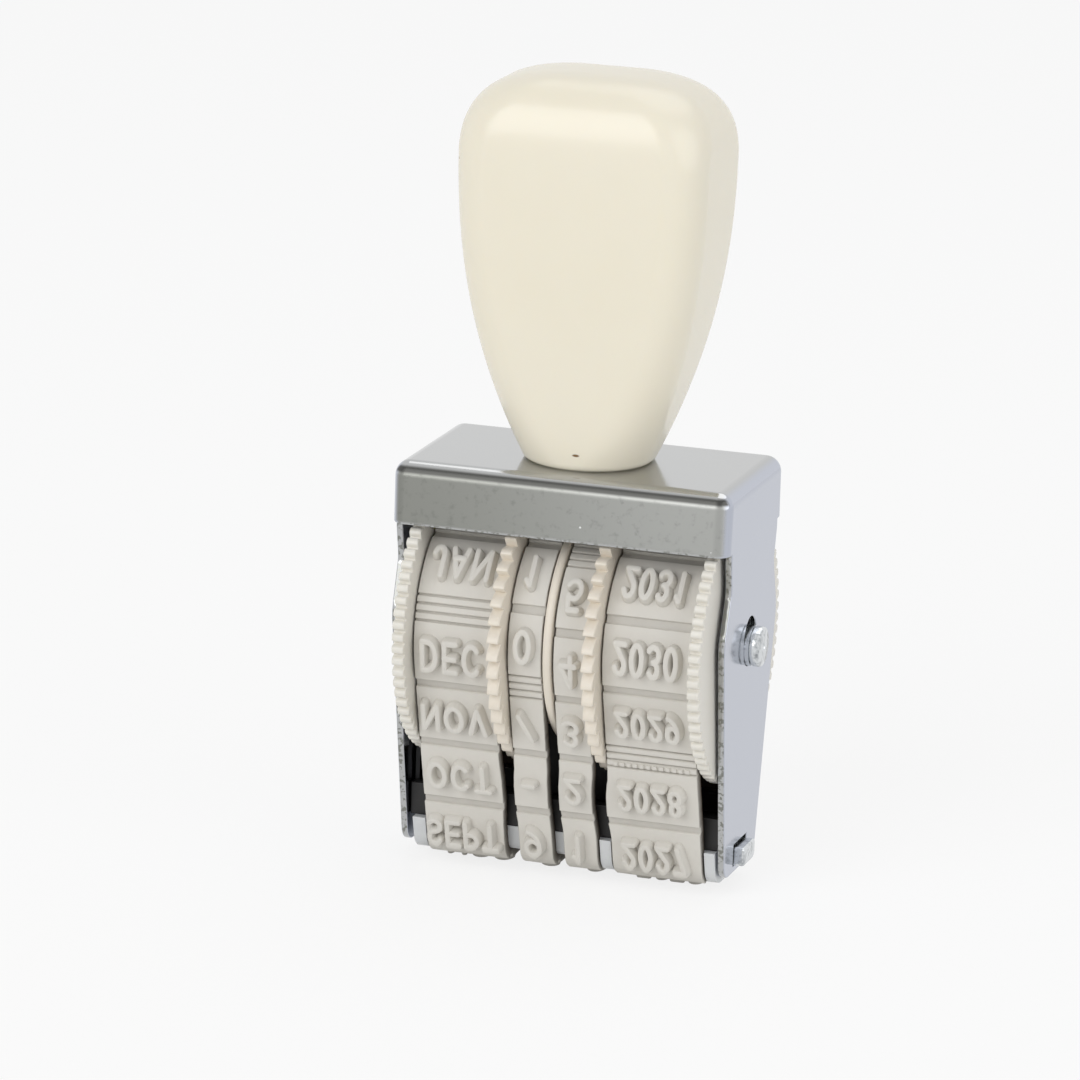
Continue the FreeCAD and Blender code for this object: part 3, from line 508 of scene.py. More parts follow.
# for each character the width of its box, as a share of its height, and its strokes in a unit box
letterForms = {
    "A": (0.54, [[(0, 0), (0.5, 1)], [(0.5, 1), (1, 0)], [(0.2, 0.34), (0.8, 0.34)]]),
    "B": (0.44, [[(0, 0), (0, 1)], [(0, 1)] + arc(0.42, 0.76, 0.5, 0.24, 90, -90) + [(0, 0.52)],
                 [(0, 0.52)] + arc(0.45, 0.26, 0.55, 0.26, 90, -90) + [(0, 0)]]),
    "C": (0.54, [arc(0.52, 0.5, 0.52, 0.5, 44, 316)]),
    "D": (0.5, [[(0, 0), (0, 1)], [(0, 1)] + arc(0.35, 0.5, 0.65, 0.5, 90, -90) + [(0, 0)]]),
    "E": (0.42, [[(0, 0), (0, 1)], [(0, 1), (1, 1)], [(0, 0.52), (0.9, 0.52)], [(0, 0), (1, 0)]]),
    "F": (0.4, [[(0, 0), (0, 1)], [(0, 1), (1, 1)], [(0, 0.52), (0.86, 0.52)]]),
    "G": (0.54, [arc(0.52, 0.5, 0.52, 0.5, 44, 352), [(1.03, 0.43), (0.6, 0.43)]]),
    "J": (0.36, [[(1, 1), (1, 0.28)], arc(0.5, 0.28, 0.5, 0.28, 0, -165)]),
    "L": (0.4, [[(0, 1), (0, 0)], [(0, 0), (1, 0)]]),
    "M": (0.64, [[(0, 0), (0, 1)], [(0, 1), (0.5, 0.2)], [(0.5, 0.2), (1, 1)], [(1, 1), (1, 0)]]),
    "N": (0.52, [[(0, 0), (0, 1)], [(0, 1), (1, 0)], [(1, 0), (1, 1)]]),
    "O": (0.58, [arc(0.5, 0.5, 0.5, 0.5, 0, 360)]),
    "P": (0.42, [[(0, 0), (0, 1)], [(0, 1)] + arc(0.42, 0.73, 0.58, 0.27, 90, -90) + [(0, 0.46)]]),
    "R": (0.44, [[(0, 0), (0, 1)], [(0, 1)] + arc(0.42, 0.74, 0.55, 0.26, 90, -90) + [(0, 0.48)],
                 [(0.5, 0.48), (1, 0)]]),
    "S": (0.44, [arc(0.5, 0.74, 0.46, 0.26, 30, 270), arc(0.5, 0.24, 0.5, 0.24, 90, -150)]),
    "T": (0.48, [[(0, 1), (1, 1)], [(0.5, 1), (0.5, 0)]]),
    "U": (0.48, [[(0, 1), (0, 0.33)] + arc(0.5, 0.33, 0.5, 0.33, 180, 360) + [(1, 1)]]),
    "V": (0.54, [[(0, 1), (0.5, 0)], [(0.5, 0), (1, 1)]]),
    "Y": (0.52, [[(0, 1), (0.5, 0.46)], [(1, 1), (0.5, 0.46)], [(0.5, 0.46), (0.5, 0)]]),
    "0": (0.5, [arc(0.5, 0.5, 0.5, 0.5, 0, 360)]),
    "1": (0.36, [[(0.5, 0), (0.5, 1)], [(0.5, 1), (0.1, 0.84)]]),
    "2": (0.48, [arc(0.5, 0.71, 0.48, 0.29, 165, -32) + [(0, 0)], [(0, 0), (1, 0)]]),
    "3": (0.48, [arc(0.46, 0.75, 0.44, 0.25, 150, -90), arc(0.46, 0.25, 0.54, 0.25, 90, -150)]),
    "4": (0.52, [[(0.7, 0), (0.7, 1)], [(0.7, 1), (0, 0.28)], [(0, 0.28), (1, 0.28)]]),
    "5": (0.46, [[(0.92, 1), (0.15, 1)], [(0.15, 1), (0.06, 0.52)], arc(0.46, 0.31, 0.54, 0.31, 138, -150)]),
    "6": (0.5, [arc(0.5, 0.31, 0.5, 0.31, 0, 360), arc(0.92, 0.36, 0.92, 0.64, 180, 96)]),
    "7": (0.48, [[(0, 1), (1, 1)], [(1, 1), (0.32, 0)]]),
    "8": (0.48, [arc(0.5, 0.76, 0.42, 0.24, 0, 360), arc(0.5, 0.26, 0.5, 0.26, 0, 360)]),
    "9": (0.5, [arc(0.5, 0.69, 0.5, 0.31, 0, 360), arc(0.08, 0.64, 0.92, 0.64, 0, -84)]),
    "-": (0.36, [[(0, 0.5), (1, 0.5)]]),
    "/": (0.46, [[(0, 0), (1, 1)]]),
}
# a character's ridge, from its foot in the pad to its printing face: height over the pad and half width
ridge = [(-0.2, 0.58), (0.02, 0.55), (0.5, 0.45), (0.88, 0.34), (1.05, 0.28), (1.1, 0.2)]
capSteps = 7
typeForm = {"strokeStep": 0.007, "letterStep": 0.004, "footRise": 0.1, "footStainAndShade": 0.12, "margin": 1.25}


def ridgeMesh(line, placed):
    # the ridge along one stroke, round at its ends or closed on itself
    closed = math.dist(line[0], line[-1]) < 1e-6
    if closed:
        line = line[:-1]
    count = len(line)
    sides = []
    for i, here in enumerate(line):
        before = line[i - 1] if closed or i else here
        after = line[(i + 1) % count] if closed or i < count - 1 else here
        along = Vector((after[0] - before[0], after[1] - before[1])).normalized()
        sides.append(Vector((along.y, -along.x)))
    levels = []
    for _, half in ridge:
        outer = [Vector(p) + side * half for p, side in zip(line, sides)]
        inner = [Vector(p) - side * half for p, side in zip(line, sides)]
        if closed:
            levels.append((outer, inner))
            continue
        caps = []
        for end, side in ((line[-1], sides[-1]), (line[0], -sides[0])):
            forward = Vector((-side.y, side.x))
            turns = [math.pi * k / (capSteps + 1) for k in range(1, capSteps + 1)]
            caps.append([Vector(end) + (side * math.cos(t) + forward * math.sin(t)) * half for t in turns])
        levels.append((outer + caps[0] + inner[::-1] + caps[1],))
    points, faces = [], []
    for loop in range(len(levels[0])):
        start, size = len(points), len(levels[0][loop])
        for (height, _), level in zip(ridge, levels):
            points += [placed(p.x, p.y, height) for p in level[loop]]
        for k in range(len(ridge) - 1):
            a, b = start + k * size, start + (k + 1) * size
            faces += [(a + j, a + (j + 1) % size, b + (j + 1) % size, b + j) for j in range(size)]
    for k in (0, len(ridge) - 1):
        a = k * len(levels[0][0])
        if closed:
            b = len(ridge) * count + k * count
            faces += [(a + j, a + (j + 1) % count, b + (j + 1) % count, b + j) for j in range(count)]
        else:
            far = a + 2 * count + capSteps - 1
            faces += [(a + j, a + j + 1, far - j - 1, far - j) for j in range(count - 1)]
            faces.append(tuple(a + count - 1 + j for j in range(capSteps + 2)))
            faces.append(tuple(far + j for j in range(capSteps + 1)) + (a,))
    return points, faces


def wordMesh(word, centreX, station, room, layout):
    form, height = typeForm, layout["height"]
    widths = [letterForms[character][0] * height * layout["stretch"] for character in word]
    gaps = len(word) - 1
    if "pitch" in layout:
        middles = [(k - gaps / 2) * layout["pitch"] for k in range(len(word))]
    else:
        gap = min(layout["gap"], (room - sum(widths)) / max(1, gaps))
        total = sum(widths) + gap * gaps
        middles = [sum(widths[:k]) + gap * k + widths[k] / 2 - total / 2 for k in range(len(word))]
    points, faces, stainAndShade = [], [], []
    for k, character in enumerate(word):
        for n, line in enumerate(letterForms[character][1]):
            # strokes at slightly different heights, which keeps the faces of crossing ones apart
            sunk = form["strokeStep"] * n + form["letterStep"] * (k % 2)
            scaled = [((u - 0.5) * widths[k], (v - 0.5) * height) for u, v in line]

            def placed(u, v, rise):
                y, z = beltSpot(station - v, beltForm["padHeight"] + rise - sunk)
                # each character's foot takes ink stain together with painted shade
                stainAndShade.append(form["footStainAndShade"] if rise < form["footRise"] else 0.0)
                return (centreX + middles[k] + u, y, z)

            addShape(points, faces, *ridgeMesh(scaled, placed))
    return points, faces, stainAndShade


monthLayout = {"height": 2.95, "stretch": 1.08, "gap": 1.02}
yearLayout = {"height": 2.95, "stretch": 0.8, "pitch": 1.98}
dayLayout = {"height": 2.95, "stretch": 1.08, "gap": 1.0}
bands = {
    "month_band": {"words": "AUG SEPT OCT NOV DEC JAN FEB MAR APR MAY JUN JUL".split() + [""],
                   "jointAfter": 4, "layout": monthLayout, "beaded": False,
                   "drift": {"front": (0.0, 0.17), "back": (-0.05, 0.33)}},
    "tens_band": {"words": list("89-/01234567") + [""], "jointAfter": 3, "layout": dayLayout, "beaded": False,
                  "drift": {"front": (-0.22, -0.15), "back": (-0.38, 0.25)}},
    "units_band": {"words": list("0123456789-/") + [""], "jointAfter": 5, "layout": dayLayout,
                   "beaded": False, "drift": {"front": (-0.28, -0.28), "back": (-0.28, 0.17)}},
    "year_band": {"words": [str(year) for year in range(2026, 2039)], "jointAfter": 2, "layout": yearLayout,
                  "beaded": True, "drift": {"front": (-0.36, 0.03), "back": (-0.33, 0.06)}},
}
seedStep = 11.3


def setInputs(modifier, values):
    for item in modifier.node_group.interface.items_tree:
        if item.item_type == "SOCKET" and item.in_out == "INPUT" and item.name in values:
            modifier[item.identifier] = values[item.name]


def grownMesh(points, faces, tree, values, name):
    # a plain mesh of what a node tree makes from the given faces
    mesh = bpy.data.meshes.new(name)
    mesh.from_pydata([Vector(p) * mm for p in points], [], faces)
    holder = linkPiece(name, mesh)
    modifier = holder.modifiers.new("grow", "NODES")
    modifier.node_group = tree
    setInputs(modifier, values)
    bpy.context.view_layer.update()
    result = bpy.data.meshes.new_from_object(holder.evaluated_get(bpy.context.evaluated_depsgraph_get()))
    holder.modifiers.remove(modifier)
    bpy.data.objects.remove(holder)
    return result


def newTree(name, inputs):
    tree = bpy.data.node_groups.new(name, "GeometryNodeTree")
    tree.interface.new_socket("Geometry", in_out="INPUT", socket_type="NodeSocketGeometry")
    for label, kind in inputs.items():
        tree.interface.new_socket(label, in_out="INPUT", socket_type="NodeSocket" + kind)
    tree.interface.new_socket("Geometry", in_out="OUTPUT", socket_type="NodeSocketGeometry")
    return tree, addNode(tree, "NodeGroupInput").outputs


def makeRowTree():
    # copies of one block in a row along X
    tree, given = newTree("beadRow", {"Count": "Int", "Spacing": "Float", "Start": "Float",
                                      "Rubber": "Material"})
    start = addNode(tree, "ShaderNodeCombineXYZ", links={"X": given["Start"]})
    step = addNode(tree, "ShaderNodeCombineXYZ", links={"X": given["Spacing"]})
    line = addNode(tree, "GeometryNodeMeshLine",
                   links={"Count": given["Count"], "Start Location": start.outputs[0],
                          "Offset": step.outputs[0]})
    copies = addNode(tree, "GeometryNodeInstanceOnPoints",
                     links={"Points": line.outputs[0], "Instance": given["Geometry"]})
    real = addNode(tree, "GeometryNodeRealizeInstances", links={"Geometry": copies.outputs[0]})
    dressed = addNode(tree, "GeometryNodeSetMaterial",
                      links={"Geometry": real.outputs[0], "Material": given["Rubber"]})
    addNode(tree, "NodeGroupOutput", links={0: dressed.outputs[0]})
    return tree


beadForm = {"width": 0.54, "spacing": 0.76, "proud": 0.22, "sunk": 0.1, "margin": 0.35, "ribMargin": 0.08,
            "shoulder": 0.05, "lean": 0.03, "taper": 0.05}


def beadRowMesh(low, high, jointAfter):
    # a row of small square beads on the joint's lowest rib
    form = beadForm
    starts, rib = jointRibStarts(jointAfter)
    half, edge = form["width"] / 2, form["ribMargin"]
    rings = []
    for rise, inset in ((-form["sunk"], 0.0), (form["proud"] - form["shoulder"], form["lean"]),
                        (form["proud"], form["taper"] + form["lean"])):
        side, near, far = half - inset, edge + inset, rib - edge - inset
        corners = [(-side, near), (side, near), (side, far), (-side, far)]
        top = beltForm["ribHeight"] + rise
        rings.append([(x, *beltSpot(starts[0] + along, top)) for x, along in corners])
    points, faces = bridgeRings(rings, capped=True)
    count = int((high - low - 2 * form["margin"]) / form["spacing"])
    start = (low + high - (count - 1) * form["spacing"]) / 2
    return grownMesh(points, faces, makeRowTree(), {"Count": count, "Spacing": form["spacing"] * mm,
                                                    "Start": start * mm, "Rubber": typeRubber}, "beadRow")


def makeBand(name, seed):
    band, sharpAngle = bands[name], beltForm["sharpAngle"]
    low, high = nodeBox(name)
    points, faces, stainAndShade = beltMesh(low.x, high.x, band, seed)
    for word, centre in zip(band["words"], padCentres(band["jointAfter"])):
        if word:
            _, z = beltSpot(centre, beltForm["padHeight"])
            strays = wander(band["drift"], -1 if 0 < centre < beltLength / 2 else 1, z)
            more, sides, stainShadeShares = wordMesh(word, (low.x + high.x + sum(strays)) / 2, centre,
                                           high.x - low.x - typeForm["margin"], band["layout"])
            addShape(points, faces, more, sides)
            stainAndShade += stainShadeShares
    mesh = makeMesh(name, points, faces, sharpAngle, stainAndShade)
    if band["beaded"]:
        mesh = joinMeshes(name, [mesh, beadRowMesh(low.x, high.x, band["jointAfter"])], sharpAngle)
    settle(name + "_rubber", mesh, typeRubber, "stamp_body", name, "type_rubber")


for number, name in enumerate(bands):
    makeBand(name, number * seedStep)

print("thumb wheels")
# one tooth over one pitch: share of the pitch going up the front, share of the tooth's height
roundTooth = [(-0.5, 0), (-0.4, 0.1), (-0.33, 0.5), (-0.27, 0.84), (-0.18, 0.97), (-0.06, 1.0), (0.06, 1.0),
              (0.18, 0.97), (0.27, 0.84), (0.33, 0.5), (0.4, 0.1)]
sawTooth = [(-0.42, 0), (-0.41, 0.12), (-0.385, 0.84), (-0.36, 0.96), (-0.32, 1.0), (-0.24, 1.0),
            (-0.05, 0.86), (0.15, 0.62), (0.35, 0.3), (0.5, 0.06)]
wheels = {
    "month_wheel": {"teeth": 70, "tooth": 0.7, "profile": roundTooth, "drum": 1, "material": outerPlastic,
                    "body": "month_thumb_wheel", "slot": "outer_wheel_plastic"},
    "tens_wheel": {"teeth": 48, "tooth": 1.2, "profile": sawTooth, "drum": 1, "material": innerPlastic,
                   "body": "tens_thumb_wheel", "slot": "ivory_plastic"},
    "units_wheel": {"teeth": 48, "tooth": 1.2, "profile": sawTooth, "drum": -1, "material": innerPlastic,
                    "body": "units_thumb_wheel", "slot": "ivory_plastic"},
    "year_wheel": {"teeth": 70, "tooth": 0.7, "profile": roundTooth, "drum": -1, "material": outerPlastic,
                   "body": "year_thumb_wheel", "slot": "outer_wheel_plastic"},
}
flangeForm = {"radius": 15.85, "thickness": 1.35, "edge": 0.12, "toothDepth": 2.2, "bore": 2.85,
              "boreRelief": 0.1, "drumRadius": 11.4, "drumWall": 1.5, "drumSunk": 0.4, "rimChamfer": 0.2,
              "floorSunk": 0.2, "hubRadius": 4.3, "hubChamfer": 0.1, "drumSteps": 96, "mergeDistance": 4e-6,
              "sharpAngle": 38}


def makeToothTree():
    # a whole toothed flange from one pitch of it
    tree, given = newTree("toothedFlange", {"Teeth": "Int", "Axle level": "Float", "Merge distance": "Float",
                                            "Plastic": "Material"})
    spots = addNode(tree, "GeometryNodeMeshLine", {"Offset": (0, 0, 0)}, {"Count": given["Teeth"]})
    index = addNode(tree, "GeometryNodeInputIndex")
    step = addNode(tree, "ShaderNodeMath", {"operation": "DIVIDE", 0: 2 * math.pi}, {1: given["Teeth"]})
    turn = addNode(tree, "ShaderNodeMath", {"operation": "MULTIPLY"},
                   {0: index.outputs[0], 1: step.outputs[0]})
    euler = addNode(tree, "ShaderNodeCombineXYZ", links={"X": turn.outputs[0]})
    rotation = addNode(tree, "FunctionNodeEulerToRotation", links={0: euler.outputs[0]})
    copies = addNode(tree, "GeometryNodeInstanceOnPoints",
                     links={"Points": spots.outputs[0], "Instance": given["Geometry"],
                            "Rotation": rotation.outputs[0]})
    lift = addNode(tree, "ShaderNodeCombineXYZ", links={"Z": given["Axle level"]})
    real = addNode(tree, "GeometryNodeRealizeInstances", links={"Geometry": copies.outputs[0]})
    moved = addNode(tree, "GeometryNodeTransform",
                    links={"Geometry": real.outputs[0], "Translation": lift.outputs[0]})
    merged = addNode(tree, "GeometryNodeMergeByDistance",
                     links={"Geometry": moved.outputs[0], "Distance": given["Merge distance"]})
    dressed = addNode(tree, "GeometryNodeSetMaterial",
                      links={"Geometry": merged.outputs[0], "Material": given["Plastic"]})
    addNode(tree, "NodeGroupOutput", links={0: dressed.outputs[0]})
    return tree


toothTree = makeToothTree()


def makeWheel(name):
    wheel, form = wheels[name], flangeForm
    low, high = nodeBox(name)
    sign = wheel["drum"]
    left = low.x if sign > 0 else high.x - form["thickness"]
    right = left + form["thickness"]
    pitch, edge, bore = 2 * math.pi / wheel["teeth"], form["edge"], form["bore"]
    inner = bore + form["boreRelief"]
    firstShare, firstHeight = wheel["profile"][0]
    rings = []
    for share, height in wheel["profile"] + [(firstShare + 1, firstHeight)]:
        radius = form["radius"] - wheel["tooth"] * (1 - height)
        root = radius - form["toothDepth"]
        section = [(left, inner), (left, root), (left, radius - edge), (left + edge, radius),
                   (right - edge, radius), (right, radius - edge), (right, root), (right, inner)]
        turn = share * pitch
        rings.append([(x, r * math.sin(turn), r * math.cos(turn)) for x, r in section])
    points, faces = bridgeRings(rings)
    flange = grownMesh(points, faces, toothTree,
                       {"Teeth": wheel["teeth"], "Axle level": axleLevel * mm,
                        "Merge distance": form["mergeDistance"], "Plastic": wheel["material"]}, name)
    face, end = (right, high.x) if sign > 0 else (left, low.x)
    start, floor = face - form["drumSunk"] * sign, face - form["floorSunk"] * sign
    rim, hub, chamfer, small = (form[key] for key in ("drumRadius", "hubRadius", "rimChamfer", "hubChamfer"))
    lining = rim - form["drumWall"]
    profile = [(start, rim), (end - chamfer * sign, rim), (end, rim - chamfer), (end, lining),
               (floor, lining), (floor, hub), (end - small * sign, hub), (end, hub - small),
               (end, bore + small), (end - small * sign, bore), (start, bore)]
    drum = makeMesh(name + "_drum", *lathed(profile, form["drumSteps"]))
    settle(name + "_moulding", joinMeshes(name, [flange, drum], form["sharpAngle"]), wheel["material"],
           wheel["body"], name, wheel["slot"])


for name in wheels:
    makeWheel(name)

print("knob")
knobForm = {"foot": 48.0, "height": 44.1, "footRadius": 7.2, "halfWidth": 14.45, "halfDepth": 9.6,
            "shoulder": 35.5, "sideCurve": 2.22, "frontCurve": 1.6, "crownCurve": 2.56, "crownRound": 0.3,
            "corner": 0.47, "footRoundness": 0.48, "crownRoundness": 0.3, "footEdge": 0.35, "levels": 48,
            "crownLevels": 26, "perCorner": 16, "sharpAngle": 60}


def knobSection(rise):
    # half width, half depth and corner radius of the knob's section
    form = knobForm
    if rise <= form["shoulder"]:
        below = 1 - rise / form["shoulder"]
        halfWidth = form["halfWidth"] - (form["halfWidth"] - form["footRadius"]) * below ** form["sideCurve"]
        halfDepth = form["halfDepth"] - (form["halfDepth"] - form["footRadius"]) * below ** form["frontCurve"]
        return halfWidth, halfDepth, (form["corner"] + form["footRoundness"] * below ** 3) * halfDepth
    share = (rise - form["shoulder"]) / (form["height"] - form["shoulder"])
    narrow = max(1 - share ** form["crownCurve"], 0.0) ** form["crownRound"]
    halfDepth = form["halfDepth"] * narrow
    radius = (form["corner"] + form["crownRoundness"] * share) * halfDepth
    return form["halfWidth"] * narrow, halfDepth, radius


def makeKnob():
    form = knobForm
    crown = form["height"] - form["shoulder"]
    rises = [(0.0, form["footEdge"]), (form["footEdge"], 0.0)]
    rises += [(form["shoulder"] * k / form["levels"], 0.0) for k in range(1, form["levels"])]
    # rings of the crown by how narrow they are, down to a point at its top
    for k in range(form["crownLevels"]):
        narrow = math.cos(math.pi / 2 * k / form["crownLevels"])
        share = (1 - narrow ** (1 / form["crownRound"])) ** (1 / form["crownCurve"])
        rises.append((form["shoulder"] + crown * share, 0.0))
    rises.append((form["height"], 0.0))
    rings = []
    for rise, inset in rises:
        halfWidth, halfDepth, radius = (size - inset for size in knobSection(rise))
        ring = []
        for quarter, (side, front) in enumerate(((1, 1), (-1, 1), (-1, -1), (1, -1))):
            for k in range(form["perCorner"] + 1):
                turn = (quarter + k / form["perCorner"]) * math.pi / 2
                ring.append((side * (halfWidth - radius) + radius * math.cos(turn),
                             front * (halfDepth - radius) + radius * math.sin(turn), form["foot"] + rise))
        rings.append(ring)
    mesh = makeMesh("handle", *bridgeRings(rings, capped=True), form["sharpAngle"])
    settle("handle_knob", mesh, knobPlastic, "stamp_body", "handle", "knob_plastic")


makeKnob()

print("frame and small pieces")


edgeForm = {"flat": 0.6, "sharp": 30.0, "smooth": 50.0, "segments": 2, "weight": 100}


def weighted(mesh):
    # the mesh with its shading weighted towards its large flat faces
    holder = linkPiece("weighted", mesh)
    modifier = holder.modifiers.new("weight", "WEIGHTED_NORMAL")
    modifier.keep_sharp = True
    modifier.weight = edgeForm["weight"]
    bpy.context.view_layer.update()
    result = bpy.data.meshes.new_from_object(holder.evaluated_get(bpy.context.evaluated_depsgraph_get()))
    bpy.data.objects.remove(holder)
    return result


def edgedMesh(node, edgeWidth):
    # a copy of the solid, merged into flat faces and with its sharp edges rounded off
    form = edgeForm
    mesh = nodes[node].data.copy()
    mesh.materials.clear()
    work = bmesh.new()
    work.from_mesh(mesh)
    bmesh.ops.remove_doubles(work, verts=work.verts, dist=mergeDistance)
    bmesh.ops.dissolve_limit(work, angle_limit=math.radians(form["flat"]), verts=work.verts, edges=work.edges)
    sharp = [e for e in work.edges
             if len(e.link_faces) == 2 and e.calc_face_angle(0) > math.radians(form["sharp"])]
    bmesh.ops.bevel(work, geom=sharp, offset=edgeWidth * mm, segments=form["segments"], profile=0.5,
                    affect="EDGES", clamp_overlap=True)
    bmesh.ops.recalc_face_normals(work, faces=work.faces)
    work.to_mesh(mesh)
    work.free()
    mesh.shade_smooth()
    mesh.set_sharp_from_angle(angle=math.radians(form["smooth"]))
    return weighted(mesh)


edged = {
    "frame": (chrome, 0.14, "stamp_body", "frame_chrome"),
    "platen_bar": (turnedSteel, 0.3, "stamp_body", "steel"),
    "platen": (platenPlastic, 0.12, "stamp_body", "platen_plastic"),
    "divider_disc": (innerPlastic, 0.3, "divider", "ivory_plastic"),
}
for name, (material, width, body, slotName) in edged.items():
    settle(name + "_edged", edgedMesh(name, width), material, body, name, slotName)

axleForm = {"radius": 2.3, "barrel": 2.8, "barrelHalf": 18.7, "chamfer": 0.28, "chamferBreak": (0.35, 0.3),
            "groove": 0.18, "grooveSlope": 0.03, "grooveDepth": 0.35, "capLength": 0.95, "centreDrill": 0.5,
            "steps": 64, "sharpAngle": 30}


def makeAxle():
    # turned pin with a thicker barrel under the wheels and a groove behind each end
    form, end = axleForm, nodeBox("axle")[1].x
    radius, chamfer, slope, drill = (form[key] for key in ("radius", "chamfer", "grooveSlope", "centreDrill"))
    cap, inner = end - form["capLength"], radius - form["grooveDepth"]
    groove = cap - form["groove"]
    along, inwards = form["chamferBreak"]
    half = [(form["barrelHalf"], form["barrel"]), (form["barrelHalf"], radius), (groove, radius),
            (groove + slope, inner), (cap - slope, inner), (cap, radius), (end - chamfer, radius),
            (end - chamfer * along, radius - chamfer * inwards), (end, radius - chamfer), (end, drill),
            (end - drill, 0.0)]
    profile = [(-x, r) for x, r in half[::-1]] + half
    mesh = makeMesh("axle", *lathed(profile, form["steps"], closed=False), form["sharpAngle"])
    settle("axle_turned", mesh, turnedSteel, "stamp_body", "axle", "steel")


makeAxle()

bridgeForm = {"sunk": 1.0, "edge": 0.15, "sharpAngle": 40, "cheekIn": 0.55, "cheekOut": 0.08,
              "cheekHalf": 4.3, "cheekTops": {-1: 14.4, 1: 12.1}, "topRound": 2.2, "roundSteps": 6,
              "pinRing": 0.42, "pinWall": 0.1, "pinProud": 0.06, "pinSunk": 0.02, "pinSteps": 20,
              "pinSpot": -2.9, "pinLevels": (10.3, 11.6), "webHalf": 0.45, "webTop": 12.1,
              "webSpan": (-5.9, 6.6), "tongueTop": 16.4, "tongueLean": 0.3, "tongueSpan": (-4.5, 4.1),
              "slotFloor": 14.7, "slotSpan": (-0.98, 0.54)}


def cheekMesh(sign, top, reach, foot):
    # thin black cheek that stands inside one side plate, with its ejector pin marks; it is painted shade, a
    # dark piece filling the see-through gap at a band's outer edge
    form = bridgeForm
    half, rounding, steps = form["cheekHalf"], form["topRound"], form["roundSteps"]
    outline = [(-half, foot), (half, foot)]
    for side in (1, -1):
        for k in range(steps + 1):
            turn = math.pi / 2 * (k / steps if side > 0 else 1 - k / steps)
            outline.append((side * (half - rounding + rounding * math.cos(turn)),
                            top - rounding + rounding * math.sin(turn)))
    outer, inner = sign * (reach - form["cheekOut"]), sign * (reach - form["cheekIn"])
    points, faces = bridgeRings([[(x, y, z) for y, z in outline] for x in (outer, inner)], capped=True)
    root, proud = inner + form["pinSunk"] * sign, inner - form["pinProud"] * sign
    wide, narrow = form["pinRing"], form["pinRing"] - form["pinWall"]
    turns = [2 * math.pi * k / form["pinSteps"] for k in range(form["pinSteps"])]
    for level in form["pinLevels"]:
        rings = [[(x, form["pinSpot"] + r * math.cos(t), level + r * math.sin(t)) for t in turns]
                 for x, r in ((root, wide), (proud, wide), (proud, narrow), (root, narrow))]
        addShape(points, faces, *bridgeRings(rings, closed=True))
    return makeMesh("bridge_shade_cheek", points, faces)


def webMesh(foot):
    # upright black web inside the bands, with a taller tongue that is slotted for the divider; it is painted
    # shade, a dark piece filling the see-through gaps between the bands
    form = bridgeForm
    (left, right), (tongueLeft, tongueRight) = form["webSpan"], form["tongueSpan"]
    slotLeft, slotRight = form["slotSpan"]
    top, tongue, floor, lean = (form[key] for key in ("webTop", "tongueTop", "slotFloor", "tongueLean"))
    outline = [(left, foot), (right, foot), (right, top), (tongueRight, top), (tongueRight - lean, tongue),
               (slotRight, tongue), (slotRight, floor), (slotLeft, floor), (slotLeft, tongue),
               (tongueLeft + lean, tongue), (tongueLeft, top), (left, top)]
    rings = [[(x, y, z) for x, z in outline] for y in (-form["webHalf"], form["webHalf"])]
    return makeMesh("bridge_shade_web", *bridgeRings(rings, capped=True))


def makeBridge():
    # black moulding between the side plates, with cheeks and a web added as painted shade: dark pieces where
    # the gaps around the bands show only shade
    form, high = bridgeForm, nodeBox("bridge")[1]
    foot = high.z - form["sunk"]
    meshes = [edgedMesh("bridge", form["edge"])]
    meshes += [cheekMesh(sign, top, high.x, foot) for sign, top in form["cheekTops"].items()]
    meshes.append(webMesh(foot))
    mesh = joinMeshes("bridge", meshes, form["sharpAngle"])
    settle("bridge_moulding", mesh, bridgePlastic, "stamp_body", "bridge", "bridge_plastic")


makeBridge()

for name, material in {"axle_spacer": turnedSteel, "handle_insert": brass, "handle_screw": turnedSteel,
                       "washer": turnedSteel}.items():
    setMaterial(nodes[name], material)

print("studio")
studio = {"target": (-5.57, 0.0, 37.77), "azimuth": 17.93, "elevation": 14.69, "distance": 693.5,
          "roll": 1.65, "lens": 204.68, "sensor": 36.0, "lampAim": (0.0, 0.0, 0.045), "floorHalf": 1.5,
          "paper": "#F6F6F5", "floorWhite": 0.8, "sky": "#F4F5F7", "fill": 0.46}
lamps = {"keyLamp": {"spot": (-0.45, -1.1, 0.65), "size": 1.1, "power": 7.3},
         "rightLamp": {"spot": (1.0, -0.35, 0.45), "size": 1.2, "power": 3.8},
         "leftLamp": {"spot": (-1.0, -0.1, 0.3), "size": 0.9, "power": 0.4},
         "topLamp": {"spot": (0.1, 0.5, 1.2), "size": 1.2, "power": 3.4}}


def makeCamera():
    azimuth, elevation, roll = (math.radians(studio[k]) for k in ("azimuth", "elevation", "roll"))
    back = Vector((math.sin(azimuth) * math.cos(elevation), -math.cos(azimuth) * math.cos(elevation),
                   math.sin(elevation)))
    right = Vector((math.cos(azimuth), math.sin(azimuth), 0.0))
    up = back.cross(right)
    right, up = math.cos(roll) * right + math.sin(roll) * up, math.cos(roll) * up - math.sin(roll) * right
    data = bpy.data.cameras.new("camera")
    data.lens, data.sensor_width, data.sensor_fit = studio["lens"], studio["sensor"], "HORIZONTAL"
    data.clip_start, data.clip_end = 0.01, 20.0
    camera = bpy.data.objects.new("camera", data)
    bpy.context.scene.collection.objects.link(camera)
    place = Matrix((right, up, back)).transposed().to_4x4()
    place.translation = Vector(studio["target"]) * mm + back * studio["distance"] * mm
    camera.matrix_world = place
    bpy.context.scene.camera = camera


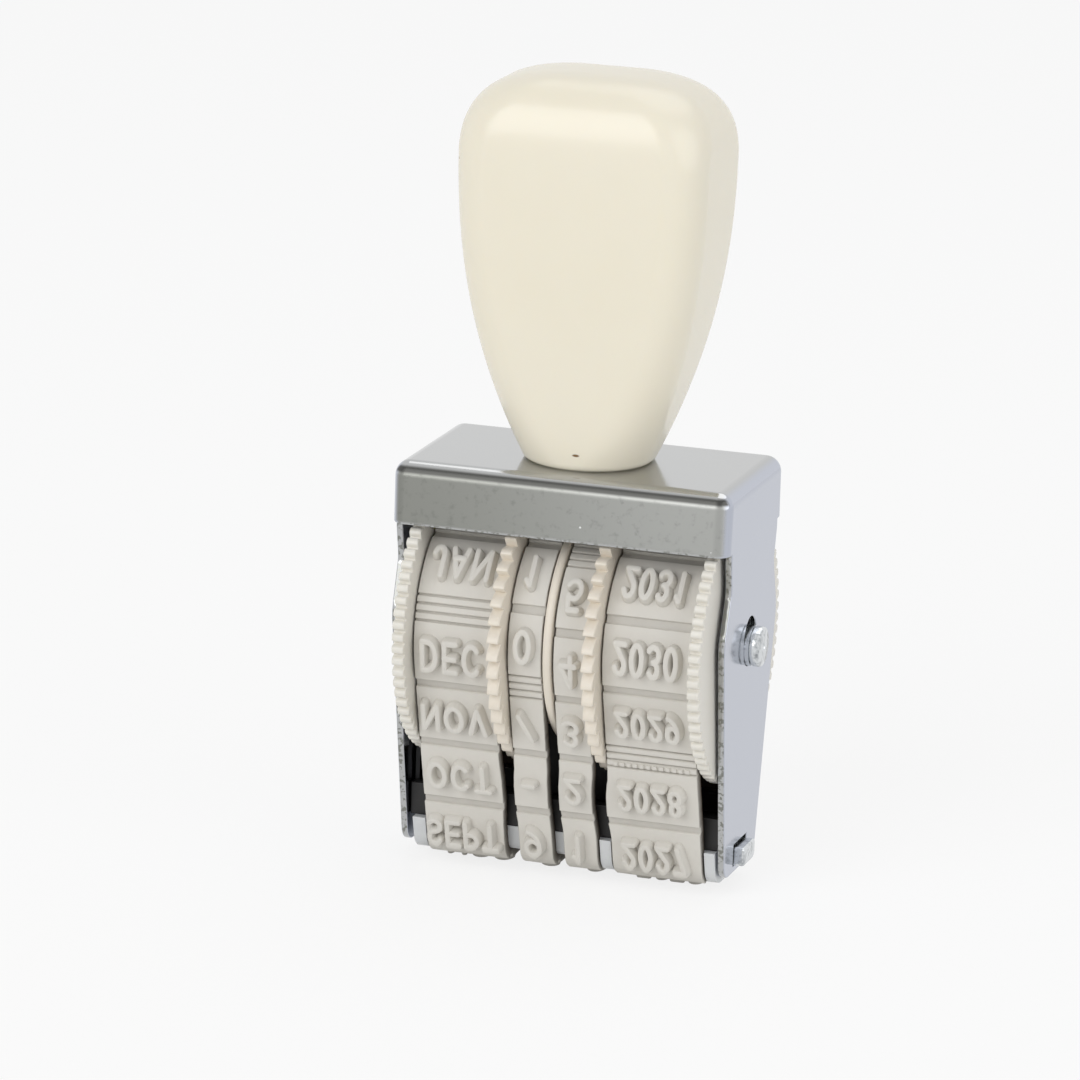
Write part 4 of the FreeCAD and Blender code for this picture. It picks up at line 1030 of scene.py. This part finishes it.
def seenDirectly(tree):
    # 1 for rays from the camera and for what metal and glass reflect or let through
    path = addNode(tree, "ShaderNodeLightPath")
    first = addNode(tree, "ShaderNodeMath", {"operation": "MAXIMUM"}, {0: path.outputs["Is Camera Ray"],
                                                                      1: path.outputs["Is Glossy Ray"]})
    return addNode(tree, "ShaderNodeMath", {"operation": "MAXIMUM"},
                   {0: first.outputs[0], 1: path.outputs["Is Transmission Ray"]}).outputs[0]


def makeStudio():
    half = studio["floorHalf"]
    data = bpy.data.meshes.new("floor")
    corners = [(-half, -half, 0), (half, -half, 0), (half, half, 0), (-half, half, 0)]
    data.from_pydata(corners, [], [(0, 1, 2, 3)])
    floor = linkPiece("floor", data)
    material, tree, _ = newMaterial("whitePaperFloor")
    paper = addNode(tree, "ShaderNodeBsdfDiffuse", {"Color": linearColour(studio["paper"])})
    glow = addNode(tree, "ShaderNodeEmission", {"Color": (1, 1, 1, 1), "Strength": 1.0})
    share = addNode(tree, "ShaderNodeMath", {"operation": "MULTIPLY", 1: studio["floorWhite"]},
                    {0: seenDirectly(tree)})
    finishMaterial(tree, addNode(tree, "ShaderNodeMixShader", links={0: share.outputs[0], 1: paper.outputs[0],
                                                                     2: glow.outputs[0]}))
    setMaterial(floor, material)

    for name, lamp in lamps.items():
        light = bpy.data.lights.new(name, "AREA")
        light.shape, light.size, light.energy = "DISK", lamp["size"], lamp["power"]
        holder = linkPiece(name, light)
        holder.location = lamp["spot"]
        aim = Vector(studio["lampAim"]) - Vector(lamp["spot"])
        holder.rotation_euler = aim.to_track_quat("-Z", "Y").to_euler()

    world = bpy.data.worlds.new("studioWorld")
    world.use_nodes = True
    tree = world.node_tree
    tree.nodes.clear()
    soft = addNode(tree, "ShaderNodeBackground",
                   {"Color": linearColour(studio["sky"]), "Strength": studio["fill"]})
    white = addNode(tree, "ShaderNodeBackground", {"Color": (1, 1, 1, 1), "Strength": 1.0})
    mixed = addNode(tree, "ShaderNodeMixShader", links={0: seenDirectly(tree), 1: soft.outputs[0],
                                                        2: white.outputs[0]})
    addNode(tree, "ShaderNodeOutputWorld", links={"Surface": mixed.outputs[0]})
    bpy.context.scene.world = world


makeCamera()
makeStudio()
bpy.context.scene.view_settings.view_transform = "Standard"
